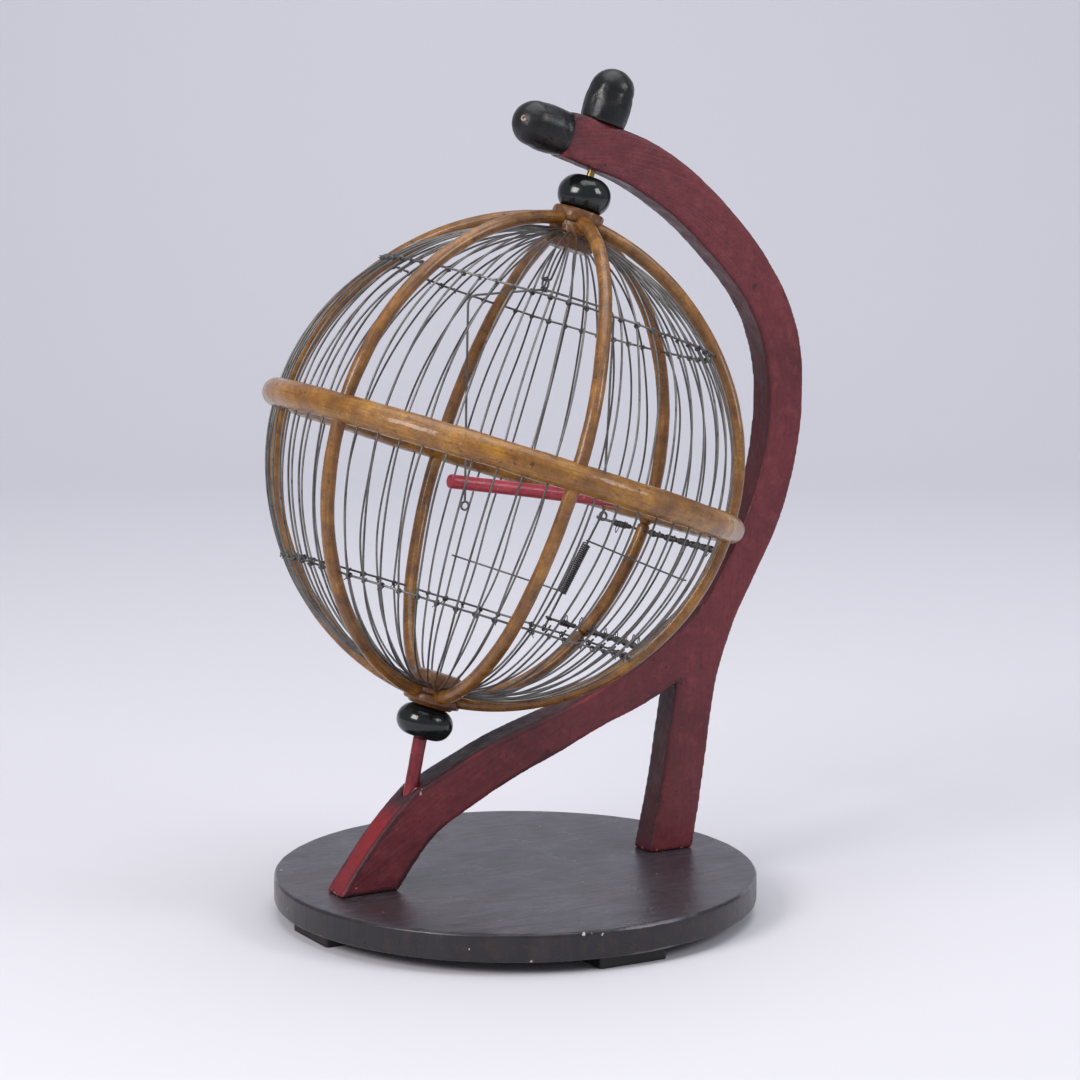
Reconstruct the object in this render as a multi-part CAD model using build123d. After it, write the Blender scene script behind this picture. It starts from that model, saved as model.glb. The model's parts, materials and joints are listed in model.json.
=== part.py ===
from build123d import *
from math import acos, asin, cos, degrees, hypot, radians, sin, sqrt
import os

# Globe-shaped wire cage that turns on a leaning axis between the two ends of a bent plank stand.
# Millimetres, +Z up, origin on the floor under the middle of the base disc.
# The plank lies in the XZ plane and its foot-to-arm bend opens towards -X.

# ---------------------------------------------------------------- driving sizes
# base
DISC_R = 190.5
DISC_T = 22.0
FOOT_H = 10.0
FOOT_W = 58.0
FOOT_AT = 152.0
TOP_Z = FOOT_H + DISC_T

# plank stand
PLANK_T = 26.0

# globe: centre, lean and the girth that the ribs and wires leave from
GLOBE_X = -10.0
GLOBE_Z = 358.0
LEAN = 19.5
CAGE_R = 183.0
RING_R = 11.0
RIB_R = 5.3
WIRE_R = 0.85
RIB_START = 17.0
RIB_STEP = 60.0
WIRE_STEP = 6.0

# hubs, measured along the axis from the globe's centre
PLUG_IN = 171.0
PLUG_R = 19.0
TOP_CAP_IN = 192.0
TOP_CAP_OUT = 200.5
LOW_CAP_IN = 188.4
LOW_CAP_OUT = 198.0
ROW_A = 183.2
ROW_B = 180.6
RIB_END = 12.5
WIRE_END = 14.5

# bends of ribs and wires above and below the ring: offset of the arc's centre, latitude where
# the flatter or tighter polar arc takes over, and the point that it passes at the hub
RIB_TOP = (0.0, 28.0, (20.0, TOP_CAP_IN))
RIB_LOW = (-9.0, 45.0, (20.0, LOW_CAP_IN))
WIRE_TOP_C = 7.3
WIRE_LOW_C = -10.0
WIRE_TURN = 45.0

# beads, pins and the lower spindle
TOP_BEAD_R = 21.0
TOP_BEAD_H = 29.0
LOW_BEAD_R = 22.3
LOW_BEAD_H = 25.0
BEAD_FLAT_R = 10.2
PIN_R = 3.0
RUN_FIT = 0.08
GLUE_FIT = 0.1
GAP = 0.3
ARM_UNDER = 235.0
ARM_OVER = 272.0
SPINDLE_R = 5.4

# latitude hoops
HOOP_R = 0.9
TIE_R = 0.4
UPPER_H = 123.0
UPPER_RHO = 135.3
LOWER_H = -116.5
LOWER_RHO = 141.2

# door
POST_ANGLE = 30.0
POST_R = 1.0
BAR_R = 1.1
TOP_BAR_H = -18.0
LOW_BAR_H = -108.0
DOOR_WIRES = (23.0, 11.0, 5.0, -1.0, -7.0, -13.0, -19.0)
DOOR_END = -27.5
BAR_IN = 2.4
DOOR_RIB_TOP = -14.5
DOOR_RIB_LOW = -110.4
RIB_BELOW_DOOR = 114.4

# swing
SWING_TILT = 10.2
PERCH_R = 5.5
PERCH_L = 154.6
PIVOT = (27.7, 496.5)
BAIL_R = 0.9

os.makedirs("parts", exist_ok=True)


# ---------------------------------------------------------------- helpers
def save(name, shape):
    export_step(shape, "parts/" + name + ".step")


def group(shapes):
    return Compound(children=list(shapes))


def leaning(shape):
    return Location((GLOBE_X, 0, GLOBE_Z), (0, LEAN, 0)) * shape


def cage_point(theta, rho, h):
    t = radians(theta)
    return Vector(rho * cos(t), rho * sin(t), h)


def to_world(v):
    s = radians(LEAN)
    x = GLOBE_X + v.X * cos(s) + v.Z * sin(s)
    z = GLOBE_Z - v.X * sin(s) + v.Z * cos(s)
    return Vector(x, v.Y, z)


def turned(points):
    """Solid turned about Z from a closed outline of (radius, height) points."""
    outline = Polyline(*[(r, 0, z) for r, z in points], close=True)
    return revolve(make_face(outline), Axis.Z)


def rod_between(a, b, r):
    a = Vector(*a)
    b = Vector(*b)
    d = b - a
    return Plane(origin=a, z_dir=d) * Cylinder(r, d.length, align=(Align.CENTER, Align.CENTER, Align.MIN))


def bent_rod(points, r, bend):
    path = FilletPolyline(*points, radius=bend)
    face = Plane(origin=path @ 0, z_dir=path % 0) * Circle(r)
    return sweep(face, path=path)


def pole_arc(c, turn_at, point):
    """Centre and radius of the polar arc that leaves the side arc at a latitude and meets a point."""
    big_r = CAGE_R - c
    across = cos(radians(turn_at))
    rise = sin(radians(turn_at))
    x = point[0] - c
    d = (x ** 2 + point[1] ** 2 - big_r ** 2) / (2 * (big_r - x * across - point[1] * rise))
    return c - d * across, -d * rise, big_r + d


def arc_tube(cx, cz, big_r, tube_r, lat_from, lat_to):
    """Round tube on an arc in the XZ plane, between two latitudes about the arc's own centre."""
    a = radians(lat_from)
    start = Plane(origin=(cx + big_r * cos(a), 0, cz + big_r * sin(a)), z_dir=(-sin(a), 0, cos(a)))
    return revolve(start * Circle(tube_r), Axis((cx, 0, cz), (0, -1, 0)), lat_to - lat_from)


def side_tube(c, tube_r, h_from, h_to):
    """Piece of a side arc between two heights."""
    big_r = CAGE_R - c
    return arc_tube(c, 0, big_r, tube_r, degrees(asin(h_from / big_r)), degrees(asin(h_to / big_r)))


def half_rod(bend, tube_r, end, h_from=0.0):
    """Upper half of a rib or wire, from a height near the ring up to a radius inside the hub."""
    cx, cz, polar_r = pole_arc(*bend)
    big_r = CAGE_R - bend[0]
    side = arc_tube(bend[0], 0, big_r, tube_r, degrees(asin(h_from / big_r)), bend[1])
    return side + arc_tube(cx, cz, polar_r, tube_r, bend[1], degrees(acos((end - cx) / polar_r)))


def polar_h(bend, rho):
    cx, cz, polar_r = pole_arc(*bend)
    return cz + sqrt(polar_r ** 2 - (rho - cx) ** 2)


def below(shape):
    return shape.mirror(Plane.XY)


def side_rho(c, h, inset=0.0):
    return c + sqrt((CAGE_R - c - inset) ** 2 - h ** 2)


def level_tube(rho, h, tube_r, theta_from, theta_to):
    """Round tube on a level arc about the axis."""
    a = radians(theta_from)
    start = Plane(origin=(rho * cos(a), rho * sin(a), h), z_dir=(-sin(a), cos(a), 0))
    return revolve(start * Circle(tube_r), Axis.Z, theta_to - theta_from)


def tie_loop(theta, c, hoop_rho, h, side_sign):
    """Small closed loop round the crossing of a wire and a hoop, set on the diagonal."""
    t = radians(theta)
    reach = hypot(hoop_rho - c, h)
    n = Vector((hoop_rho - c) / reach * cos(t), (hoop_rho - c) / reach * sin(t), h / reach)
    side = Vector(-sin(t), cos(t), 0)
    along = side.cross(n)
    apart = reach - (CAGE_R - c)
    mid = cage_point(theta, hoop_rho, h) - n * (apart / 2)
    place = Plane(origin=mid, x_dir=n, z_dir=(side * side_sign + along).normalized())
    return place * Torus(abs(apart) / 2 + HOOP_R + TIE_R + 0.15, TIE_R)


ROWS = (ROW_A, ROW_B)
TOP_BENDS = [(WIRE_TOP_C, WIRE_TURN, (PLUG_R, row)) for row in ROWS]
LOW_BENDS = [(WIRE_LOW_C, WIRE_TURN, (PLUG_R, row)) for row in ROWS]
ribs_at = [RIB_START + RIB_STEP * k for k in range(6)]

# ---------------------------------------------------------------- base
disc = Pos(0, 0, FOOT_H) * Cylinder(DISC_R, DISC_T, align=(Align.CENTER, Align.CENTER, Align.MIN))
disc = fillet(disc.edges().filter_by(GeomType.CIRCLE), 3.0)

LEG_SCREWS = (-132.0, -121.0, 130.0, 147.0)
FOOT_SCREW_AT = 16.0


def wood_screw(x, y, z, shank, head_r, r):
    """Countersunk wood screw pointing up, head face at z."""
    head = 3.0
    tip = 5.0
    outline = [(0, z), (head_r, z), (r, z + head), (r, z + shank - tip), (0.4, z + shank), (0, z + shank)]
    return Pos(x, y, 0) * turned(outline)


def screw_hole(x, y, z, shank, head_r, r):
    head = 3.0
    outline = [(0, z - 1), (head_r + 0.3, z - 1), (head_r + 0.3, z), (r + 0.2, z + head + 0.3)]
    outline += [(r + 0.2, z + shank + 1), (0, z + shank + 1)]
    return Pos(x, y, 0) * turned(outline)


leg_holes = [screw_hole(x, 0, FOOT_H + 0.5, 46.0, 4.2, 2.1) for x in LEG_SCREWS]
leg_screws = [wood_screw(x, 0, FOOT_H + 0.5, 46.0, 4.2, 2.1) for x in LEG_SCREWS]

feet = []
foot_screws = []
foot_holes = []
for k in range(4):
    a = radians(90 * k)
    cx = FOOT_AT * cos(a)
    cy = FOOT_AT * sin(a)
    foot = Pos(cx, cy, 0) * Box(FOOT_W, FOOT_W, FOOT_H, align=(Align.CENTER, Align.CENTER, Align.MIN))
    foot = fillet(foot.edges().filter_by(Axis.Z), 2.0)
    for side in (-1, 1):
        sx = cx - side * FOOT_SCREW_AT * sin(a)
        sy = cy + side * FOOT_SCREW_AT * cos(a)
        foot_screws.append(wood_screw(sx, sy, 1.0, 22.0, 3.8, 1.8))
        foot_holes.append(screw_hole(sx, sy, 1.0, 22.0, 3.8, 1.8))
    feet.append(foot.cut(*foot_holes[-2:]))

disc = disc.cut(*leg_holes, *foot_holes)
save("base_disc", disc)
for name, foot in zip(("foot_right", "foot_back", "foot_left", "foot_front"), feet):
    save(name, foot)
save("foot_screws", group(foot_screws))
save("leg_screws", group(leg_screws))


# ---------------------------------------------------------------- plank stand
def axis_xz(u, h):
    s = radians(LEAN)
    return (GLOBE_X + u * cos(s) + h * sin(s), GLOBE_Z - u * sin(s) + h * cos(s))


def plank(edges):
    face = make_face(Plane.XZ * Wire(edges))
    return extrude(face, PLANK_T / 2, both=True)


ARM_END = -34.5
end_low = axis_xz(ARM_END, ARM_UNDER + 1.5)
end_high = axis_xz(ARM_END, ARM_OVER)
seat_out = axis_xz(24.0, ARM_OVER)
under_in = axis_xz(8.0, ARM_UNDER)
lean_dir = (cos(radians(LEAN)), -sin(radians(LEAN)))

joint_top = (173.0, 238.0)
joint_low = (142.0, 171.0)
heel_in = (117.0, TOP_Z)
heel_out = (157.0, TOP_Z)

outer_pts = [heel_out, (169.5, 108), (181, 176), (202, 227), (235, 287), (253.5, 345), (259.5, 402)]
outer_pts += [(251, 456), (226, 503), (186, 549), (146, 583), seat_out]
inner_pts = [under_in, (107, 562), (147, 534), (178.5, 504), (204, 474), (219, 444), (227, 405)]
inner_pts += [(226, 368), (217.5, 327), (203, 292), joint_top]
arm_edges = [
    Spline(*outer_pts, tangents=[(0.18, 1), (-lean_dir[0], -lean_dir[1])]),
    Line(seat_out, end_high),
    Line(end_high, end_low),
    Line(end_low, under_in),
    Spline(*inner_pts, tangents=[lean_dir, (-0.52, -0.85)]),
    Line(joint_top, joint_low),
    Spline(joint_low, (135.3, 128), (128, 84), heel_in, tangents=[(-0.12, -1), (-0.2, -1)]),
    Line(heel_in, heel_out),
]
arm = plank(arm_edges)
arm = fillet(arm.faces().filter_by(Axis.Y).edges(), 1.2)

toe_out = (-160.5, TOP_Z)
toe_in = (-111.0, TOP_Z)
knee = (-93.0, 109.5)
top_run = [(-93.0, 109.5), (-66, 121.5), (-38, 134), (-4, 146.5), (34, 157.5), (78, 175), (111, 193.5)]
top_run += [(144, 215), joint_top]
low_run = [joint_low, (118, 158), (75, 142), (33, 124.5), (-8, 108.5), (-51, 87.5), (-76, 73), (-92.5, 56)]
low_run += [toe_in]
leg_edges = [
    Spline(toe_out, (-139, 61.5), (-116, 88), knee),
    Spline(*top_run),
    Line(joint_top, joint_low),
    Spline(*low_run),
    Line(toe_in, toe_out),
]
leg = plank(leg_edges)

# holes on the globe's axis and in the arm's end
pin_top_hole = leaning(Pos(0, 0, 255) * Cylinder(PIN_R + GLUE_FIT, 60))
tenon_dir = Vector(-cos(radians(LEAN)), 0, sin(radians(LEAN)))
end_mid = axis_xz(ARM_END, (ARM_UNDER + ARM_OVER) / 2)
end_mid = Vector(end_mid[0], 0, end_mid[1])
tenon_hole = rod_between(end_mid + tenon_dir, end_mid - tenon_dir * 15.5, 6.0 + GLUE_FIT)
EASE_L = 14.0
seat = Plane(origin=end_mid + tenon_dir * 0.5, z_dir=-tenon_dir)
eased_off = Pos(0, 0, EASE_L / 2) * Cylinder(45.0, EASE_L) - Pos(0, 0, EASE_L / 2) * Cone(18.7, 26.0, EASE_L)
arm = arm.cut(pin_top_hole, tenon_hole, seat * eased_off, *leg_holes[2:])

# the spindle stands a little steeper than the globe's axis; its top is cut square to that axis
spindle_top = -(LOW_CAP_OUT + LOW_BEAD_H + GAP)
spindle_from = Vector(0.3, 0, spindle_top)
spindle_at_leg = Vector(5.5, 0, -262.8)
spindle_dir = (spindle_at_leg - spindle_from).normalized()
spindle_in = spindle_at_leg + spindle_dir * 18.0
spindle_hole = rod_between(spindle_at_leg - spindle_dir * 12.0, spindle_in + spindle_dir * 0.3, SPINDLE_R + GLUE_FIT)
leg = leg.cut(leaning(spindle_hole), *leg_holes[:2])
save("arm_board", arm)
save("front_leg", leg)


# ---------------------------------------------------------------- finials
def finial(length, base_r):
    """Bullet: a slightly bellied barrel under a round dome."""
    dome = length - base_r
    edges = [
        ThreePointArc((base_r, 0, 0), (base_r + 1.0, 0, dome / 2), (base_r, 0, dome)),
        ThreePointArc((base_r, 0, dome), (base_r * sqrt(0.5), 0, dome + base_r * sqrt(0.5)), (0, 0, length)),
        Line((0, 0, length), (0, 0, 0)),
        Line((0, 0, 0), (base_r, 0, 0)),
    ]
    return revolve(make_face(Wire(edges)), Axis.Z)


FINIAL_L = 43.5
FINIAL_R = 17.6
TOP_FINIAL_U = -3.5
PIN_TOP_END = ARM_OVER + 13.0
top_finial = Pos(TOP_FINIAL_U, 0, ARM_OVER) * finial(FINIAL_L, FINIAL_R)
top_finial = leaning(top_finial.cut(Pos(0, 0, ARM_OVER + 6.8) * Cylinder(PIN_R + GLUE_FIT, 15.0)))
save("finial_top", top_finial)
end_finial = finial(FINIAL_L, FINIAL_R) + Pos(0, 0, -7.4) * Cylinder(6.0, 15.2)
save("finial_end", Plane(origin=end_mid, z_dir=tenon_dir) * end_finial)

# ---------------------------------------------------------------- pins and spindle
pin_top = leaning(turned([(0, 180.5), (PIN_R, 180.5), (PIN_R, PIN_TOP_END), (0, PIN_TOP_END)]))
save("pivot_pin_top", pin_top)
PIN_DEEP = 11.0
spindle = rod_between(spindle_from - spindle_dir * 4.0, spindle_in, SPINDLE_R)
spindle = spindle.cut(Pos(0, 0, spindle_top + 10) * Cylinder(20.0, 20.0))
spindle = spindle.cut(Pos(0, 0, spindle_top - PIN_DEEP / 2) * Cylinder(PIN_R + GLUE_FIT, PIN_DEEP + 0.6))
save("spindle_dowel", leaning(spindle))
pin_foot = spindle_top - PIN_DEEP
pin_low = turned([(0, pin_foot), (PIN_R, pin_foot), (PIN_R, -180.5), (0, -180.5)])
save("pivot_pin_bottom", leaning(pin_low))

# ---------------------------------------------------------------- beads and hubs
bore = PIN_R + RUN_FIT


def bead(r, height):
    edges = [
        Line((bore, 0, -height / 2), (BEAD_FLAT_R, 0, -height / 2)),
        ThreePointArc((BEAD_FLAT_R, 0, -height / 2), (r, 0, 0), (BEAD_FLAT_R, 0, height / 2)),
        Line((BEAD_FLAT_R, 0, height / 2), (bore, 0, height / 2)),
        Line((bore, 0, height / 2), (bore, 0, -height / 2)),
    ]
    return revolve(make_face(Wire(edges)), Axis.Z)


save("bead_top", leaning(Pos(0, 0, TOP_CAP_OUT + TOP_BEAD_H / 2) * bead(TOP_BEAD_R, TOP_BEAD_H)))
save("bead_bottom", leaning(Pos(0, 0, -LOW_CAP_OUT - LOW_BEAD_H / 2) * bead(LOW_BEAD_R, LOW_BEAD_H)))


def sockets(rib_bend, wire_bends):
    """Holes in a hub for six rib ends and the wires between them."""
    rib_a = RIB_END - 0.5
    wire_a = WIRE_END - 0.6
    holes = []
    for angle in ribs_at:
        hole = rod_between((rib_a, 0, polar_h(rib_bend, rib_a)), (26.0, 0, polar_h(rib_bend, 26.0)), RIB_R + 0.25)
        holes.append(Rot(0, 0, angle) * hole)
        for j in range(1, 10):
            bend = wire_bends[j % 2]
            wire_from = (wire_a, 0, polar_h(bend, wire_a))
            hole = rod_between(wire_from, (22.0, 0, polar_h(bend, 22.0)), WIRE_R + 0.2)
            holes.append(Rot(0, 0, angle + WIRE_STEP * j) * hole)
    return holes


def plug(face_at, holes):
    outline = [(bore, face_at), (PLUG_R, face_at), (PLUG_R, PLUG_IN), (0, PLUG_IN), (0, 179.5), (bore, 179.5)]
    return turned(outline).cut(*holes)


top_holes = sockets(RIB_TOP, TOP_BENDS)
low_holes = sockets(RIB_LOW, LOW_BENDS)
cup = [(bore, TOP_CAP_IN), (19.2, TOP_CAP_IN), (20.2, 195.5), (19.8, 202.0), (19.0, 202.8), (16.8, 202.8)]
cup += [(15.8, TOP_CAP_OUT), (bore, TOP_CAP_OUT)]
flange = [(bore, LOW_CAP_IN), (21.5, LOW_CAP_IN), (22.3, 189.4), (22.3, 194.6), (21.2, 195.8), (17.5, 195.8)]
flange += [(17.0, LOW_CAP_OUT), (bore, LOW_CAP_OUT)]
cap_top = turned(cup).cut(*top_holes)
cap_low = turned(flange).cut(*low_holes)

tilt = radians(SWING_TILT)
perch_dir = Vector(cos(tilt), 0, -sin(tilt))
swing_up = Vector(sin(tilt), 0, cos(tilt))
pivot = Vector(PIVOT[0], 0, PIVOT[1])
hang_at = to_world(Vector(-6.0, 0, PLUG_IN + 5.0))
strand = hang_at - pivot
HANG_W = 4.0
hanger_pts = [pivot - perch_dir * HANG_W + strand, pivot - perch_dir * HANG_W]
hanger_pts += [pivot + perch_dir * HANG_W, pivot + perch_dir * HANG_W + strand]
hanger_holes = []
for side in (-1, 1):
    foot_at = pivot + perch_dir * (HANG_W * side)
    hanger_holes.append(rod_between(foot_at + strand * 0.7, foot_at + strand * 1.02, BAIL_R + 0.2))

save("hub_plug_top", leaning(plug(TOP_CAP_IN, top_holes)).cut(*hanger_holes))
save("hub_plug_bottom", leaning(below(plug(LOW_CAP_IN, low_holes))))
save("hub_cap_top", leaning(cap_top))
save("hub_cap_bottom", leaning(below(cap_low)))

# ---------------------------------------------------------------- line of the door's hinge post
POST_TOP = (182.7, -7.0)
POST_LOW = (142.3, -114.3)


def post_rho(h):
    f = (h - POST_TOP[1]) / (POST_LOW[1] - POST_TOP[1])
    return POST_TOP[0] + f * (POST_LOW[0] - POST_TOP[0])


def post_point(h):
    return cage_point(POST_ANGLE, post_rho(h), h)


# ---------------------------------------------------------------- equator ring and ribs
ring_holes = []
for angle in ribs_at:
    ring_holes.append(Rot(0, 0, angle) * Pos(CAGE_R - 0.15, 0, 0) * Cylinder(RIB_R + 0.35, 30))
    for j in range(1, 10):
        theta = angle + WIRE_STEP * j
        ring_holes.append(Rot(0, 0, theta) * Pos(CAGE_R - 0.2, 0, 0) * Cylinder(WIRE_R + 0.45, 30))
ring_holes.append(rod_between(post_point(-6.6), post_point(-16.0), POST_R + 0.25))
ring = Torus(CAGE_R, RING_R).cut(*ring_holes)
save("equator_ring", leaning(ring))


def hoop_slots(angle):
    upper = level_tube(UPPER_RHO, UPPER_H, HOOP_R + 0.25, angle - 3.5, angle + 3.5)
    lower = level_tube(LOWER_RHO, LOWER_H, HOOP_R + 0.25, angle - 3.5, angle + 3.5)
    return upper, lower


whole_rib = half_rod(RIB_TOP, RIB_R, RIB_END) + below(half_rod(RIB_LOW, RIB_R, RIB_END))
rib_names = ("rib_door", "rib_back_right", "rib_back_left", "rib_left", "rib_front", "rib_front_right")
for name, angle in zip(rib_names[1:], ribs_at[1:]):
    rib = Rot(0, 0, angle) * whole_rib
    save(name, leaning(rib.cut(*hoop_slots(angle))))
door_angle = ribs_at[0]
rib = Rot(0, 0, door_angle) * half_rod(RIB_TOP, RIB_R, RIB_END, -10.6)
save("rib_door_upper", leaning(rib.cut(hoop_slots(door_angle)[0])))
rib = Rot(0, 0, door_angle) * below(half_rod(RIB_LOW, RIB_R, RIB_END, RIB_BELOW_DOOR))
save("rib_door_lower", leaning(rib.cut(hoop_slots(door_angle)[1])))

# ---------------------------------------------------------------- cage wires, hoops and ties
sector_names = ("wires_back_right", "wires_back", "wires_back_left")
sector_names += ("wires_front_left", "wires_front_right", "wires_door_side")
upper_ties = []
lower_ties = []
whole_wires = []
upper_wires = []
lower_wires = []
for top_bend, low_bend in zip(TOP_BENDS, LOW_BENDS):
    low_half = below(half_rod(low_bend, WIRE_R, WIRE_END))
    whole_wires.append(half_rod(top_bend, WIRE_R, WIRE_END) + low_half)
    upper_wires.append(half_rod(top_bend, WIRE_R, WIRE_END, -10.2))
    lower_wires.append(below(half_rod(low_bend, WIRE_R, WIRE_END, 113.4)))
for k, angle in enumerate(ribs_at):
    wires = []
    for j in range(1, 10):
        theta = angle + WIRE_STEP * j
        around = (theta + 180) % 360 - 180
        row = j % 2
        in_door = -22 < around < 32
        if in_door:
            wires.append(Rot(0, 0, theta) * upper_wires[row])
            wires.append(Rot(0, 0, theta) * lower_wires[row])
        else:
            wires.append(Rot(0, 0, theta) * whole_wires[row])
        upper_ties.append(tie_loop(theta, WIRE_TOP_C, UPPER_RHO, UPPER_H, 1))
        if abs(around - POST_ANGLE) > 2:
            lower_ties.append(tie_loop(theta, WIRE_LOW_C, LOWER_RHO, LOWER_H, -1))
    save(sector_names[k], leaning(group(wires)))
save("upper_hoop", leaning(Pos(0, 0, UPPER_H) * Torus(UPPER_RHO, HOOP_R)))
save("lower_hoop", leaning(Pos(0, 0, LOWER_H) * Torus(LOWER_RHO, HOOP_R)))
save("upper_ties", leaning(group(upper_ties)))
save("lower_ties", leaning(group(lower_ties)))

# ---------------------------------------------------------------- door hinge post and spring
post = rod_between(post_point(POST_TOP[1]), post_point(POST_LOW[1]), POST_R)
t = radians(POST_ANGLE)
eye_plane = Plane(
    origin=cage_point(POST_ANGLE, LOWER_RHO, LOWER_H),
    x_dir=(cos(t), sin(t), 0),
    z_dir=(-sin(t), cos(t), 0),
)
post = post + eye_plane * Torus(2.3, 0.8)
save("door_hinge_post", leaning(post))

COIL_IN = 2.2
COIL_WIRE = 0.75
COIL_TURNS = 32
COIL_TOP_H = -41.0
pitch = 2 * COIL_WIRE
coil_edges = []
for i in range(COIL_TURNS):
    z = -i * pitch
    coil_edges.append(ThreePointArc((3.25, 0, z), (3.7, 0, z - pitch / 2), (3.25, 0, z - pitch)))
low = -COIL_TURNS * pitch
coil_edges.append(Line((3.25, 0, low), (COIL_IN, 0, low)))
coil_edges.append(Line((COIL_IN, 0, low), (COIL_IN, 0, 0)))
coil_edges.append(Line((COIL_IN, 0, 0), (3.25, 0, 0)))
coil = revolve(make_face(Wire(coil_edges)), Axis.Z)
post_up = (post_point(-10) - post_point(-100)).normalized()
coil_top = post_point(COIL_TOP_H)
coil = Plane(origin=coil_top, z_dir=post_up) * coil
coil_low = coil_top - post_up * (COIL_TURNS * pitch)

out = Vector(cos(t), sin(t), 0)
inward = (post_up * out.dot(post_up) - out).normalized()
mean_r = COIL_IN + COIL_WIRE
SPRING_CATCH = 65.0
catch_h = -82.0
catch_rho = side_rho(WIRE_LOW_C, catch_h)
arm_start = coil_low + inward * mean_r + post_up * COIL_WIRE
arm_mid = cage_point(SPRING_CATCH - 0.5, catch_rho - 2.3, catch_h)
arm_tip = cage_point(SPRING_CATCH + 1.1, catch_rho - 1.6, catch_h)
arm_end = cage_point(SPRING_CATCH + 1.0, catch_rho + 1.9, catch_h)
spring_arm = bent_rod([arm_start, arm_mid, arm_tip, arm_end], COIL_WIRE, 0.9)
save("door_spring", leaning(coil + spring_arm))

# ---------------------------------------------------------------- door leaf
door_wires = []
for theta in DOOR_WIRES:
    door_wires.append(Rot(0, 0, theta) * side_tube(WIRE_LOW_C, WIRE_R, -111.2, -15.2))
save("door_wires", leaning(group(door_wires)))


def bar_rho(h):
    return side_rho(WIRE_LOW_C, h, BAR_IN)


def door_bar(h):
    rho = bar_rho(h)
    start = POST_ANGLE - degrees(2.6 / rho)
    bar = level_tube(rho, h, BAR_R, start, DOOR_END)
    eye = Plane(origin=post_point(h), z_dir=post_up) * Torus(2.5, 0.9)
    return bar + eye


top_bar = door_bar(TOP_BAR_H)
low_bar = door_bar(LOW_BAR_H)
save("door_top_bar", leaning(top_bar))
save("door_bottom_bar", leaning(low_bar))
door_rib = Rot(0, 0, door_angle) * side_tube(RIB_LOW[0], RIB_R, DOOR_RIB_LOW, DOOR_RIB_TOP)
top_slot = level_tube(bar_rho(TOP_BAR_H), TOP_BAR_H, BAR_R + 0.25, door_angle + 6, door_angle - 6)
low_slot = level_tube(bar_rho(LOW_BAR_H), LOW_BAR_H, BAR_R + 0.25, door_angle + 8, door_angle - 8)
save("door_rib", leaning(door_rib.cut(top_slot, low_slot)))


def wraps(h, stops):
    """Short wound sleeves on a door bar between its wires."""
    rho = bar_rho(h)
    sleeves = []
    for a, b in stops:
        sleeve = level_tube(rho, h, BAR_R + 1.0, a, b)
        sleeves.append(sleeve.cut(level_tube(rho, h, BAR_R + 0.12, a + 1, b - 1)))
    return group(sleeves)


save("door_top_wraps", leaning(wraps(TOP_BAR_H, [(22, 20.2), (10, 6.4), (4, 0.4), (-2, -5.8), (-8, -12)])))
save("door_bottom_wraps", leaning(wraps(LOW_BAR_H, [(21.8, 20.4), (10, 6.4), (4, 0.4), (-2, -5.8), (-8, -12)])))

hook_at = -7.0
hook_h = -47.0
hook_rho = side_rho(WIRE_LOW_C, hook_h)
arm_start = coil_top + inward * mean_r + post_up * (COIL_WIRE + 0.6)
arm_mid = cage_point(hook_at + 0.5, hook_rho - 2.3, hook_h)
arm_tip = cage_point(hook_at - 1.0, hook_rho - 1.6, hook_h)
arm_end = cage_point(hook_at - 0.9, hook_rho + 1.9, hook_h)
door_arm = bent_rod([arm_start, arm_mid, arm_tip, arm_end], COIL_WIRE, 0.9)
save("door_spring_arm", leaning(door_arm))

# ---------------------------------------------------------------- swing
save("swing_hanger", bent_rod(hanger_pts, BAIL_R, 2.6))
EYE_R = 3.2
LINK_R = 4.6
drop = LINK_R - 2 * BAIL_R - GAP
peak = pivot - swing_up * (drop + LINK_R)
left_eye = Vector(-44.2, 0, 329.0)
right_eye = Vector(79.6, 0, 311.0)
left_shoulder = Vector(-41.0, 0, 488.0)
right_shoulder = Vector(89.0, 0, 469.5)
bail = bent_rod([left_eye, left_shoulder, peak, right_shoulder, right_eye], BAIL_R, 6.0)
link = Plane(origin=pivot - swing_up * drop, z_dir=perch_dir) * Torus(LINK_R, BAIL_R)
for eye in (left_eye, right_eye):
    bail = bail + Plane(origin=eye - Vector(0, 0, EYE_R), z_dir=(0, 1, 0)) * Torus(EYE_R, BAIL_R)
bail = bail + link
save("swing_bail", bail)

perch_mid = Vector(18.1, 0, 332.4)
perch = Cylinder(PERCH_R, PERCH_L)
perch = chamfer(perch.edges().filter_by(GeomType.CIRCLE), 0.8)
perch = Plane(origin=perch_mid, z_dir=perch_dir) * perch
perch_holes = [
    rod_between(left_eye, left_eye + (left_shoulder - left_eye) * 0.3, BAIL_R + 0.2),
    rod_between(right_eye, right_eye + (right_shoulder - right_eye) * 0.3, BAIL_R + 0.2),
]
save("swing_perch", perch.cut(*perch_holes))
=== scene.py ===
import json
import math
import random

import bmesh
import bpy
import numpy as np
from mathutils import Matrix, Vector, kdtree

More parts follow.
